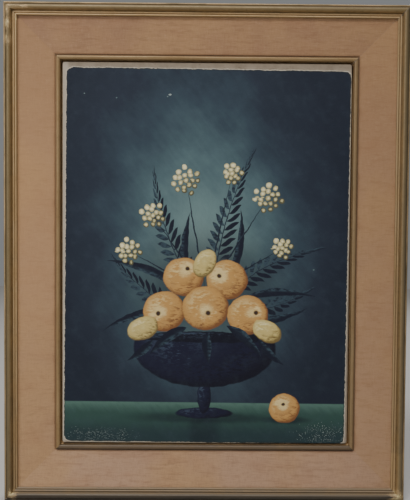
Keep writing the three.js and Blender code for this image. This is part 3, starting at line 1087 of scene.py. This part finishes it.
def build_round_group(name, has_eye):
    spots = ["Centre", "Eye"] if has_eye else ["Centre"]
    tree, w, given, put = start_motif(name, spots, ["Dark", "Body", "Light"], **ROUND_NUMBERS)
    moved, turned = wire_turn(w, given, "Centre")
    size = w.join(given["Width"], given["Height"], 1.0)
    local = w.vector("DIVIDE", turned, size)
    radius = w.vector("LENGTH", local, output="Value")
    inside = w.smooth(radius, 1.0 + given["Soft"], 1.0 - given["Soft"])
    below = w.smooth(w.part(local, 1), given["Top"] + 0.05, given["Top"])
    mask = inside * below * given["Strength"]
    flat_light = w.vector("DOT_PRODUCT", w.vector("DIVIDE", moved, size), (-0.55, 0.6, 0.0), output="Value")
    bulge = w.math("SQRT", w.math("SUBTRACT", 1.0, radius * radius, clamp=True))
    swirl = w.math("SINE", radius * 8.0 + given["Strokes"] * 16.0)
    light = flat_light * 0.5 + bulge * 0.6 + swirl * 0.14 + (given["Strokes"] - 0.5) * 0.8
    if has_eye:
        from_eye = w.vector("DISTANCE", local, given["Eye"], output="Value")
        light = light + w.smooth(from_eye, 0.62, 0.16, 0.0, 0.45)
    colour = w.mix(w.smooth(light, -0.1, 0.5), given["Dark"], given["Body"])
    colour = w.mix(w.smooth(light, 0.55, 1.1), colour, given["Light"])
    if has_eye:
        colour = w.mix(w.smooth(from_eye, 0.15, 0.07), colour, srgb(62, 46, 38))
    put(Color=w.mix(mask, given["Under"], colour))
    return tree


round_group = build_round_group("painted round", False)
quince_group = build_round_group("painted quince", True)
print("round groups:", len(round_group.nodes), len(quince_group.nodes), "nodes")

# %% [markdown]
# Small pale berries grow in bunches at the ends of twigs: one in the middle and two rings round it. A ring
# repeats around its middle, so the group folds the angle into one sector and paints one berry there. A sine
# of the sector's number makes the berries stand at unlike distances.

# %% Group for a painted bunch of berries
def wire_berry_ring(w, angle, reach, count, ring, wander):
    """The distance from the nearest berry of a ring."""
    sector = 2 * math.pi / count
    number = w.math("ROUND", angle / sector)
    angle = angle - number * sector
    unlike = w.math("SINE", number * 2.4 + wander)
    ring = ring * (unlike * 0.17 + 1.0)
    out = reach * w.math("COSINE", angle) - ring
    aside = reach * w.math("SINE", angle)
    return w.math("SQRT", out * out + aside * aside)


def build_bunch_group():
    tree, w, given, put = start_motif(
        "painted bunch", ["Centre"], ["Dark", "Body", "Light"], Spin=0.0, Count=6.0, Ring=8.4, Berry=4.4
    )
    moved = w.vector("SUBTRACT", given["Plane"], given["Centre"])
    reach = w.vector("LENGTH", moved, output="Value")
    angle = w.math("ARCTAN2", w.part(moved, 1), w.part(moved, 0)) + given["Spin"]
    wander = given["Spin"] * 9.0
    inner = wire_berry_ring(w, angle, reach, given["Count"], given["Ring"], wander)
    outer = wire_berry_ring(w, angle, reach, given["Count"] + 4.0, given["Ring"] * 1.85, wander)
    nearest = w.math("MINIMUM", w.math("MINIMUM", inner, outer), reach)
    share = nearest / given["Berry"]
    side = w.vector("DOT_PRODUCT", moved, (-0.012, 0.016, 0.0), output="Value")
    light = 1.0 - share + side + (given["Strokes"] - 0.5) * 1.3
    colour = w.mix(w.smooth(light, 0.0, 0.4), given["Dark"], given["Body"])
    colour = w.mix(w.smooth(light, 0.4, 0.95), colour, given["Light"])
    put(Color=w.mix(w.smooth(share, 1.08, 0.88), given["Under"], colour))
    return tree


bunch_group = build_bunch_group()
print("bunch group:", len(bunch_group.nodes), "nodes")

# %% [markdown]
# A leaf starts at its stalk, bends along a parabola and is widest near its middle. The same group, long and
# thin, paints twigs. One half is lighter than the other, in streaks.

# %% Group for a painted leaf
def wire_along(w, given):
    """The share of the way along the leaf, from its stalk, and the distance from its bent midrib."""
    turned = wire_turn(w, given, "Stalk")[1]
    share = w.part(turned, 0) / given["Length"]
    bow = given["Bend"] * given["Length"] * (share * share)
    return share, w.part(turned, 1) - bow


def build_leaf_group():
    tree, w, given, put = start_motif(
        "painted leaf", ["Stalk"], ["Dark", "Light"], Turn=0.0, Length=60.0, Width=9.0, Bend=0.0
    )
    share, offset = wire_along(w, given)
    capped = w.math("MINIMUM", w.math("MAXIMUM", share, 0.0), 1.0)
    outline = w.math("SINE", w.math("POWER", capped, 0.8) * math.pi)
    mask = w.smooth(outline * given["Width"] * 0.5 - abs(offset), -0.15, 0.7)
    lit_side = w.smooth(offset / given["Width"], -0.05, 0.25)
    lit_side = lit_side * w.smooth(given["Strokes"], 0.36, 0.62)
    colour = w.mix(lit_side, given["Dark"], given["Light"])
    put(Color=w.mix(mask, given["Under"], colour))
    return tree


leaf_group = build_leaf_group()

# %% [markdown]
# A sprig is a bent stem with small leaves on both sides. Its leaves repeat, so the group folds the plane
# along the stem with a fraction, instead of painting each leaf by itself.

# %% Group for a painted sprig
def build_sprig_group():
    numbers = {"Turn": 0.0, "Length": 120.0, "Bend": 0.0, "Pairs": 7.0, "Leaf": 22.0}
    tree, w, given, put = start_motif("painted sprig", ["Stalk"], ["Dark", "Light"], **numbers)
    share, offset = wire_along(w, given)
    out = abs(offset)
    right = w.math("GREATER_THAN", offset, 0.0)
    reach = given["Leaf"] * w.smooth(share, 1.04, 0.3, 0.12, 1.0)
    along_leaf = out / reach
    row = share * given["Pairs"] - along_leaf * 1.25 + right * 0.5
    fold = abs(w.math("FRACT", row) - 0.5)
    outline = w.math("SINE", w.math("MINIMUM", along_leaf, 1.0) * math.pi) * 0.4
    leafy_part = w.smooth(share, 0.04, 0.1) * w.smooth(share, 1.06, 1.0)
    leaves = w.smooth(outline - fold, -0.02, 0.05) * leafy_part
    stem = w.smooth(w.linear(share, 0, 1, 1.3, 0.4) - out, -0.2, 0.5)
    stem = stem * (w.smooth(share, -0.01, 0.0) * w.smooth(share, 1.0, 0.99))
    mask = w.math("MAXIMUM", leaves, stem)
    tone = (right * 0.5 + 0.5) * given["Strokes"]
    put(Color=w.mix(mask, given["Under"], w.mix(w.smooth(tone, 0.3, 0.6), given["Dark"], given["Light"])))
    return tree


sprig_group = build_sprig_group()
print("leaf and sprig groups:", len(leaf_group.nodes), len(sprig_group.nodes), "nodes")

# %% [markdown]
# The motifs are listed from the back to the front, in millimetres from the middle of the canvas, with
# angles in degrees. Each entry becomes one group node that paints over the colour under it.

# %% Colours and motifs of the picture
BLUE_BLACK = srgb(26, 28, 50)
NIGHT = srgb(18, 19, 34)
SLATE = srgb(66, 80, 100)
UMBER = srgb(122, 80, 48)
OCHRE = srgb(190, 146, 86)
PEACH = srgb(222, 198, 142)
CREAM = srgb(232, 222, 170)
STRAW = srgb(200, 180, 116)
OLIVE = srgb(116, 98, 58)
LEAF_DARK = srgb(22, 26, 42)
LEAF_LIGHT = srgb(54, 72, 84)

fruit = {"Dark": UMBER, "Body": OCHRE, "Light": PEACH}
lemon = {"Dark": OLIVE, "Body": STRAW, "Light": CREAM}
berry = {"Dark": srgb(84, 82, 62), "Body": srgb(190, 180, 132), "Light": srgb(236, 228, 186)}
dish = {"Dark": NIGHT, "Body": BLUE_BLACK, "Light": SLATE}
leafy = {"Dark": LEAF_DARK, "Light": LEAF_LIGHT}
night = {"Dark": NIGHT, "Body": NIGHT, "Light": NIGHT}


def round_motif(x, z, width, height, colours, turn=0, **more):
    given = {"Centre": (x, z, 0), "Width": width, "Height": height, "Turn": math.radians(turn)}
    return round_group, {**given, **colours, **more}


def quince_motif(x, z, size, eye_x, eye_z):
    given = {"Centre": (x, z, 0), "Width": size, "Height": size * 0.96, "Soft": 0.035}
    return quince_group, {**given, "Eye": (eye_x, eye_z, 0), **fruit}


def bunch_motif(x, z, spin, count):
    given = {"Centre": (x, z, 0), "Spin": spin, "Count": count, "Ring": 1.45 * count}
    return bunch_group, {**given, **berry}


def leaf_motif(x, z, turn, length, width, bend):
    given = {"Stalk": (x, z, 0), "Turn": math.radians(turn), "Length": length, "Width": width, "Bend": bend}
    return leaf_group, {**given, **leafy}


def sprig_motif(x, z, turn, length, bend, pairs, leaf):
    given = {"Stalk": (x, z, 0), "Turn": math.radians(turn), "Length": length, "Bend": bend}
    return sprig_group, {**given, "Pairs": pairs, "Leaf": leaf, **leafy}


def twig_motif(x, z):
    """A thin stem from the middle of the pile to a bunch of berries."""
    across, up = x - TWIG_ROOT[0], z - TWIG_ROOT[1]
    length = math.hypot(across, up) * 1.04
    return leaf_motif(*TWIG_ROOT, math.degrees(math.atan2(up, across)), length, 3.0, 0.0)


TWIG_ROOT = (0, -60)
SPRIGS = [
    (-30, -34, 122, 170, -0.24, 13, 22),
    (16, -20, 82, 190, -0.16, 14, 22),
    (44, -54, 40, 150, -0.26, 12, 20),
    (-52, -84, 158, 120, -0.3, 10, 19),
    (60, -90, 2, 112, 0.3, 10, 18),
]
BACK_LEAVES = [
    (-44, -52, 142, 118, 15, 0.34),
    (-30, -30, 104, 96, 13, -0.3),
    (36, -40, 62, 112, 14, 0.34),
    (60, -70, 22, 112, 14, -0.36),
    (-60, -92, 176, 104, 14, 0.4),
    (66, -104, -8, 96, 13, 0.36),
]
BUNCHES = [
    (-86, 62, 0.3, 6),
    (-34, 118, 0.0, 7),
    (40, 130, 0.6, 5),
    (98, 92, 0.2, 7),
    (122, 12, 0.5, 5),
    (-124, 4, 0.1, 6),
]
PILE = [
    (-36, -36, 32, 0.2, 0.42),
    (34, -40, 33, -0.38, 0.2),
    (-66, -92, 34, -0.3, -0.12),
    (68, -96, 33, 0.4, 0.1),
    (0, -86, 37, 0.12, -0.24),
]
LEMONS = [(-2, -14, 24, 17, 62), (-100, -120, 26, 18, 24), (100, -122, 25, 17, -28)]
FRONT_LEAVES = [
    (-30, -118, 200, 72, 17, 0.3),
    (34, -114, -24, 76, 17, -0.32),
    (4, -124, 262, 52, 16, 0.2),
    (86, -134, -62, 58, 14, 0.3),
    (-84, -138, 236, 54, 14, -0.3),
]

motifs = [round_motif(0, -52, 104, 78, night, Soft=0.55, Strength=0.7)]
motifs += [sprig_motif(*values) for values in SPRIGS]
motifs += [leaf_motif(*values) for values in BACK_LEAVES]
motifs += [twig_motif(x, z) for x, z, _, _ in BUNCHES]
motifs += [bunch_motif(*values) for values in BUNCHES]
motifs += [round_motif(0, -264, 104, 8, night, Soft=0.5, Strength=0.55)]
motifs += [round_motif(0, -286, 24, 30, night, Soft=0.4, Strength=0.4)]
motifs += [round_motif(0, -256, 46, 9, dish), round_motif(0, -229, 11, 28, dish)]
motifs += [round_motif(0, -150, 114, 64, dish, Top=0.28, Soft=0.016)]
motifs += [round_motif(0, -133, 111, 9, {"Dark": NIGHT, "Body": NIGHT, "Light": SLATE})]
motifs += [quince_motif(*values) for values in PILE]
motifs += [round_motif(x, z, width, height, lemon, turn) for x, z, width, height, turn in LEMONS]
motifs += [leaf_motif(*values) for values in FRONT_LEAVES]
motifs += [round_motif(134, -266, 34, 6, night, Soft=0.5, Strength=0.6)]
motifs += [quince_motif(130, -247, 25, -0.1, 0.25)]
print("motifs:", len(motifs))

# %% [markdown]
# The ground of the picture is a dark blue-black that clears to a soft teal glow behind the still life. A
# green table runs across below, lightest along its far edge. Broad diagonal strokes break up both. A
# painted sheen lightens the ground towards the upper left.

# %% Ground of the picture
TABLE_EDGE = -239.0
TABLE_FOOT = -305.0
GLOW_CENTRE = (-4, 2, 0)
GLOW_SIZE = (180, 258, 1)
GLOW = [
    (0.0, srgb(120, 144, 144)),
    (0.24, srgb(102, 127, 129)),
    (0.42, srgb(77, 100, 107)),
    (0.6, srgb(52, 68, 80)),
    (0.78, srgb(38, 47, 61)),
    (1.0, srgb(30, 37, 51)),
]


def wire_ground(w, plane):
    z = w.part(plane, 1)
    strokes = w.noise(w.stretch(w.turn(plane, 0.9), (0.02, 0.11, 1)), 1.0, 5, 0.62)
    clouds = w.noise(plane, 0.014, 4, 0.55)
    away = w.oval(plane, GLOW_CENTRE, GLOW_SIZE) + (clouds - 0.5) * 0.5 + (strokes - 0.5) * 0.15
    # Painted sheen: the ground is lighter towards the upper left.
    painted_sheen_slope = z - w.part(plane, 0) * 0.5
    away = away - w.linear(painted_sheen_slope, 120.0, 380.0, 0.0, 0.3)
    ramp = w.add("ValToRGB", {0: away * 0.77})
    for i, (distance, colour) in enumerate(GLOW):
        element = ramp.color_ramp.elements[i] if i < 2 else ramp.color_ramp.elements.new(distance)
        element.position = distance
        element.color = colour
    wall = Signal(w, ramp.outputs[0])
    depth = w.linear(z, TABLE_EDGE, TABLE_FOOT) + (strokes - 0.5) * 0.25
    table = w.mix(w.smooth(depth, 0.0, 0.3), srgb(74, 104, 95), srgb(48, 76, 70))
    table = w.mix(w.smooth(depth, 0.3, 0.85), table, srgb(38, 56, 60))
    line = w.smooth(depth, 0.12, 0.0) * w.smooth(strokes, 0.3, 0.6)
    table = w.mix(line * 0.5, table, srgb(90, 124, 112))
    return w.mix(w.smooth(z, TABLE_EDGE + 1.0, TABLE_EDGE - 1.0), wall, table)


# %% [markdown]
# The paint stops short of the canvas's edge. A strip of bare priming shows along the top and the sides,
# of uneven width, because the painted field sits slightly turned. Its edge is ragged, with a thin pale line.
# Small losses show the priming: a sprinkle along the bottom, and a few chips higher up.

# %% Edge of the paint and its losses
FIELD_LEFT, FIELD_RIGHT = -225.5, 227.0
FIELD_TOP, FIELD_BOTTOM = 295.0, -303.8
LOSSES = [
    ((-172, -294), (64, 14), 0.58),
    ((190, -287), (50, 20), 0.46),
    ((196, -300), (40, 6), 0.75),
]
CHIPS = [
    ((-61, 254), (2.6, 1.5)),
    ((-65, 251), (1.1, 0.8)),
    ((-197, 254), (1.1, 0.9)),
    ((-146, 248), (1.2, 0.9)),
    ((173, -22), (1.6, 1.1)),
]


def wire_losses(w, plane):
    cells = {"Vector": plane, "Scale": 0.62, "Randomness": 1.0}
    chance = w.part(w.out("Color", "TexVoronoi", cells, feature="F1"), 0)
    size = w.linear(w.noise(plane, 0.9, 3, 0.7), 0.3, 0.7, 0.6, 1.3)
    near_cell = w.smooth(w.out("Distance", "TexVoronoi", cells, feature="F1"), 0.42, 0.2)
    lost = None
    for (x, z), (width, height), amount in LOSSES:
        here = w.smooth(w.oval(plane, (x, z, 0), (width, height, 1)), 1.2, 0.3, 0.0, amount)
        here = near_cell * w.math("GREATER_THAN", here * size, chance)
        lost = here if lost is None else w.math("MAXIMUM", lost, here)
    ragged = w.noise(plane, 0.5, 3, 0.7)
    for (x, z), (width, height) in CHIPS:
        chip = w.smooth(w.oval(plane, (x, z, 0), (width, height, 1)) + ragged, 1.6, 1.35)
        lost = w.math("MAXIMUM", lost, chip)
    return lost


def wire_field(w, plane):
    """One inside the painted field and nothing beyond its ragged edge, and the distance to that edge."""
    x, z = w.part(plane, 0), w.part(plane, 1)
    ragged = (w.noise(plane, 0.11, 6, 0.75) - 0.5) * 5.5
    sides = w.math("MINIMUM", x - FIELD_LEFT, FIELD_RIGHT - x)
    ends = w.math("MINIMUM", FIELD_TOP - z, z - FIELD_BOTTOM)
    edge = w.math("SMOOTH_MIN", sides, ends, 16.0) + ragged
    return w.smooth(edge, -0.25, 0.35), edge


# %% [markdown]
# The painting is built up like a real one: the ground, then each motif over it, then a thin bloom of age.
# Beyond the painted field lie the priming and its stains, with painted light on the bare strip at the left
# and painted shade on the bare strip along the top. The turned edges of the canvas are cleaner.

# %% Paint on the canvas
CANVAS_FRONT = 23.2 * MM
RIM_X, RIM_Z = ((half - CANVAS_INSET) / MM for half in (half_width, half_height))


def wire_gap(w, plane, axis, limit):
    """The distance from the canvas's own edge, in millimetres."""
    return limit - abs(w.part(plane, axis))


def build_painting():
    material, w, shader, place = start_material("oil_paint_on_canvas")
    plane = w.group(plane_group, {"Place": place, "Wobble": 1.0})["Plane"]
    steady = w.group(plane_group, {"Place": place, "Wobble": 0.0})["Plane"]
    colour = wire_ground(w, steady)
    strokes = w.noise(w.stretch(steady, (0.1, 0.24, 1)), 1.0, 4, 0.62)
    for group, given in motifs:
        shared = {"Plane": plane, "Strokes": strokes, "Under": colour}
        colour = w.group(group, {**shared, **given})["Color"]
    patchy = w.noise(steady, 0.05, 5, 0.65)
    painted, edge = wire_field(w, steady)
    colour = w.mix(w.smooth(patchy, 0.45, 0.75) * 0.1, colour, srgb(74, 92, 104))
    colour = w.mix(w.smooth(edge, 2.6, 0.4) * 0.6, colour, srgb(48, 52, 54))
    weave = w.group(weave_group, {"Place": place, "Pitch": 0.85 * MM, "Looseness": 0.4})
    priming = w.mix(w.smooth(patchy, 0.35, 0.7), srgb(158, 145, 129), srgb(134, 122, 107))
    priming = w.mix(w.smooth(weave["Thread"], 0.5, 0.0) * 0.4, priming, srgb(120, 106, 88))
    on_face = w.smooth(w.part(place, 1), -CANVAS_FRONT + 1.3 * MM, -CANVAS_FRONT + 0.7 * MM)
    painted = painted * on_face
    lost = wire_losses(w, steady)
    pale_line = w.smooth(edge, -1.6, -0.2) * (1.0 - painted)
    bare = w.mix(pale_line * 0.7, priming, srgb(214, 206, 190))
    rim = w.math("MINIMUM", wire_gap(w, steady, 0, RIM_X), wire_gap(w, steady, 1, RIM_Z))
    bare = w.mix(w.smooth(rim + patchy * 5.0, 5.0, 1.5) * 0.3, bare, srgb(112, 94, 74))
    stains = w.smooth(w.noise(steady, 0.09, 4, 0.7), 0.6, 0.68) * on_face
    bare = w.mix(stains * 0.5, bare, srgb(98, 80, 64))
    bare = w.mix(w.linear(on_face, 1.0, 0.0, 0.0, 0.6), bare, srgb(206, 198, 180))
    # Painted light: the bare priming at the left is paler.
    painted_left_light = w.smooth(w.part(steady, 0), FIELD_LEFT + 6.0, FIELD_LEFT - 1.0)
    bare = w.mix(painted_left_light * 0.55, bare, srgb(196, 186, 170))
    # Painted shade: the bare priming along the top is darker.
    painted_top_shade = w.smooth(w.part(steady, 1), FIELD_TOP, FIELD_TOP + 7.0)
    bare = w.mix(painted_top_shade * 0.3, bare, srgb(112, 100, 86))
    bare = w.mix(lost, bare, w.mix(w.smooth(patchy, 0.4, 0.6), srgb(158, 170, 168), srgb(88, 110, 113)))
    kept = painted * (1.0 - lost)
    w.feed(shader.inputs["Base Color"], w.mix(kept, bare, colour))
    w.feed(shader.inputs["Roughness"], w.blend(kept, 0.85, strokes * 0.3 + 0.42))
    set_bump(w, shader, weave["Thread"] * 0.5 + kept * (0.35 + strokes * 0.9), 0.22 * MM)
    shader.inputs["Specular IOR Level"].default_value = 0.22
    return material


painting = build_painting()
print("painting:", len(painting.node_tree.nodes), "nodes")

# %% [markdown]
# The back of the canvas is unprimed cloth, browner with age in places. The Solidify modifier puts it on the
# inner side.

# %% Raw canvas, seen from behind
def build_raw_canvas():
    material, w, shader, place = start_material("raw_canvas")
    weave = w.group(weave_group, {"Place": place, "Pitch": 0.85 * MM, "Looseness": 0.6})
    darkening = w.noise(place, 6, 5, 0.6)
    colour = w.mix(w.smooth(darkening, 0.35, 0.7), srgb(176, 152, 116), srgb(146, 120, 86))
    colour = w.mix(w.smooth(weave["Slub"], 0.45, 0.7) * 0.5, colour, srgb(120, 96, 66))
    colour = w.mix(w.smooth(weave["Thread"], 0.5, 0.0) * 0.5, colour, srgb(88, 68, 46))
    w.feed(shader.inputs["Base Color"], colour)
    shader.inputs["Roughness"].default_value = 0.95
    set_bump(w, shader, weave["Height"], 0.3 * MM)
    return material


raw_canvas = build_raw_canvas()

# %% [markdown]
# The canvas is one cloth: its face, four turned edges and a margin folded over the back of the bars. A grid
# makes the face, its four corner points are bevelled to the radius of the stretcher's corners, and its rim
# is extruded back and then inwards. A Solidify modifier gives the cloth its thickness. The face sags by a
# fraction of a millimetre between the bars, as old canvas does.

# %% Canvas
CANVAS_HALF_WIDTH = half_width - CANVAS_INSET
CANVAS_HALF_HEIGHT = half_height - CANVAS_INSET
CANVAS_BACK = 4.8 * MM
CANVAS_CORNER = 4 * MM
CANVAS_ARRIS = 1.2 * MM
TURNOVER = 24 * MM
GRID_STEP = 5.2 * MM
FIRM_RIM = 6 * MM
SLACK_REACH = 60 * MM
SLACK = 0.7 * MM


def open_edges(bm):
    return [edge for edge in bm.edges if edge.is_boundary]


def build_canvas():
    bm = bmesh.new()
    columns = round(2 * CANVAS_HALF_WIDTH / GRID_STEP)
    rows = round(2 * CANVAS_HALF_HEIGHT / GRID_STEP)
    bmesh.ops.create_grid(bm, x_segments=columns, y_segments=rows, size=1)
    bmesh.ops.scale(bm, vec=(CANVAS_HALF_WIDTH, CANVAS_HALF_HEIGHT, 1), verts=bm.verts)
    corners = [v for v in bm.verts if len(v.link_edges) == 2]
    round_off(bm, corners, CANVAS_CORNER, 6, affect="VERTICES")
    turn_verts(bm, bm.verts, math.pi / 2, "X")
    bmesh.ops.translate(bm, vec=(0, -CANVAS_FRONT, 0), verts=bm.verts)
    rim = open_edges(bm)
    for _ in range(3):
        made = bmesh.ops.extrude_edge_only(bm, edges=open_edges(bm))
        bmesh.ops.translate(bm, vec=(0, (CANVAS_FRONT - CANVAS_BACK) / 3, 0), verts=made_verts(made))
    back_rim = open_edges(bm)
    made = bmesh.ops.extrude_edge_only(bm, edges=back_rim)
    inner_x = CANVAS_HALF_WIDTH - TURNOVER
    inner_z = CANVAS_HALF_HEIGHT - TURNOVER
    for vert in made_verts(made):
        vert.co.x = max(-inner_x, min(inner_x, vert.co.x))
        vert.co.z = max(-inner_z, min(inner_z, vert.co.z))
    round_off(bm, [e for e in rim + back_rim if e.is_valid], CANVAS_ARRIS, 3)
    bmesh.ops.remove_doubles(bm, verts=bm.verts, dist=0.02 * MM)
    bmesh.ops.dissolve_degenerate(bm, edges=bm.edges, dist=0.01 * MM)
    for vert in bm.verts:
        if vert.co.y < -CANVAS_FRONT + 0.1 * MM:
            inwards = min(CANVAS_HALF_WIDTH - abs(vert.co.x), CANVAS_HALF_HEIGHT - abs(vert.co.z))
            share = min(1.0, max(0.0, (inwards - FIRM_RIM) / SLACK_REACH))
            vert.co.y += share * SLACK * (0.4 + noise.noise(vert.co / (120 * MM)))
    bmesh.ops.recalc_face_normals(bm, faces=bm.faces)
    front = max(bm.faces, key=lambda face: face.calc_area() - 1e3 * face.calc_center_median().y)
    if front.normal.y > 0:
        bmesh.ops.reverse_faces(bm, faces=bm.faces)
    bmesh.ops.translate(bm, vec=(0, 0, picture_z), verts=bm.verts)
    return bm


canvas = finish_piece(build_canvas(), "painted_canvas", [painting, raw_canvas], smooth_angle=0.9)
thickness = canvas.modifiers.new("cloth thickness", "SOLIDIFY")
thickness.thickness = CLOTH
thickness.offset = -1.0
thickness.material_offset = 1
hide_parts("canvas")
halves = (CANVAS_HALF_WIDTH, CANVAS_HALF_HEIGHT)
canvas_cut = [2 * (half + CANVAS_FRONT - CANVAS_BACK + TURNOVER) for half in halves]
print("canvas cut to", [round(size / MM) for size in canvas_cut], "mm")

# %% [markdown]
# Staples hold the folded margin of the canvas to the back of its bars. Each is a thin bar with two short
# legs that go into the wood: a small cube, stretched and rounded along its edges, and a smaller one for
# each leg. Each staple is set slightly askew, as a hand stapler leaves them.

# %% Staples
STAPLE_LENGTH = 10.5 * MM
STAPLE_WIDTH = 1.2 * MM
STAPLE_THICKNESS = 0.5 * MM
STAPLE_LEG = 1.2 * MM
STAPLE_INSET = 17.5 * MM
STAPLE_FREE_END = 30 * MM
STAPLE_WANDER = 14 * MM
STAPLES_ALONG = {"top": 6, "right": 8, "bottom": 6, "left": 8}


def add_staple(bm, side, along, askew):
    verts = bmesh.ops.create_cube(bm, size=1)["verts"]
    bmesh.ops.scale(bm, vec=(STAPLE_LENGTH, STAPLE_THICKNESS, STAPLE_WIDTH), verts=verts)
    edges = {edge for vert in verts for edge in vert.link_edges}
    rounded = round_off(bm, list(edges), 0.16 * MM, 2)
    verts = list({vert for face in rounded["faces"] for vert in face.verts})
    for end in (-1, 1):
        leg = bmesh.ops.create_cube(bm, size=1)["verts"]
        bmesh.ops.scale(bm, vec=(STAPLE_THICKNESS, STAPLE_LEG, STAPLE_WIDTH * 0.8), verts=leg)
        shift = (end * (STAPLE_LENGTH - STAPLE_THICKNESS) / 2, -STAPLE_LEG / 2, 0)
        bmesh.ops.translate(bm, vec=shift, verts=leg)
        verts += leg
    reach = (CANVAS_HALF_WIDTH if is_upright(side) else CANVAS_HALF_HEIGHT) - STAPLE_INSET
    turn_verts(bm, verts, askew, "Y")
    bmesh.ops.translate(bm, vec=(along, -CANVAS_BACK + STAPLE_THICKNESS / 2, reach), verts=verts)
    turn_verts(bm, verts, SIDE_TURNS[side], "Y")


def build_staples():
    bm = bmesh.new()
    for side, count in STAPLES_ALONG.items():
        half = CANVAS_HALF_HEIGHT if is_upright(side) else CANVAS_HALF_WIDTH
        for i in range(count):
            along = (2 * (i + 0.5) / count - 1) * (half - STAPLE_FREE_END)
            wander = noise.noise(Vector((along * 31, SIDE_TURNS[side], i)))
            add_staple(bm, side, along + wander * STAPLE_WANDER, wander * 0.5)
    bmesh.ops.translate(bm, vec=(0, 0, picture_z), verts=bm.verts)
    return bm


finish_piece(build_staples(), "canvas_staples", [steel])
print("staples:", sum(STAPLES_ALONG.values()))

# %% [markdown]
# The stretched canvas floats, so nothing may show in front. Screws come from behind, through the ledge of
# the slip and into the bars. A head is a circle extruded and rounded at its rim. Two cuts mark the slot,
# and the strip between them is pushed in.

# %% Screws through the ledge
SCREW_HEAD_RADIUS = 3 * MM
SCREW_HEAD_HEIGHT = 0.9 * MM
SCREW_SLOT = 0.8 * MM
SCREW_SLOT_DEPTH = 0.55 * MM
SCREW_INSET = CANVAS_INSET + 5 * MM


def add_screw(bm, place, turn):
    """A screw head with its back at the place and its slot turned by an angle."""
    head = bmesh.new()
    bmesh.ops.create_circle(head, cap_ends=True, segments=20, radius=SCREW_HEAD_RADIUS)
    top = made_verts(bmesh.ops.extrude_face_region(head, geom=head.faces[:], use_keep_orig=True))
    bmesh.ops.translate(head, vec=(0, 0, SCREW_HEAD_HEIGHT), verts=top)
    rim = [e for e in head.edges if all(v in top for v in e.verts)]
    round_off(head, rim, 0.5 * MM, 3)
    for edge_of_slot in (-1, 1):
        cut_across(head, (0, edge_of_slot * SCREW_SLOT / 2, 0), (0, 1, 0))
    flat = [f for f in head.faces if f.normal.z > 0.9]
    slot = [f for f in flat if abs(f.calc_center_median().y) < SCREW_SLOT / 4]
    sunk = made_verts(bmesh.ops.extrude_face_region(head, geom=slot))
    bmesh.ops.delete(head, geom=[f for f in slot if f.is_valid], context="FACES_ONLY")
    bmesh.ops.translate(head, vec=(0, 0, -SCREW_SLOT_DEPTH), verts=sunk)
    bmesh.ops.recalc_face_normals(head, faces=head.faces)
    turn_verts(head, head.verts, turn, "Z")
    turn_verts(head, head.verts, -math.pi / 2, "X")
    bmesh.ops.translate(head, vec=place, verts=head.verts)
    spare = bpy.data.meshes.new("screw")
    head.to_mesh(spare)
    head.free()
    bm.from_mesh(spare)
    bpy.data.meshes.remove(spare)


def build_screws():
    bm = bmesh.new()
    for side in SIDES:
        half = half_height if is_upright(side) else half_width
        reach = (half_width if is_upright(side) else half_height) - SCREW_INSET
        for i, share in enumerate((-0.5, 0.5)):
            spot = Vector((share * half, -SLIP_BACK_RISE, reach))
            spot.rotate(Matrix.Rotation(SIDE_TURNS[side], 3, "Y"))
            add_screw(bm, spot + Vector((0, 0, picture_z)), 0.6 + 1.7 * i + 0.9 * SIDES.index(side))
    return bm


finish_piece(build_screws(), "ledge_screws", [steel])
print("screws:", 2 * len(SIDES))
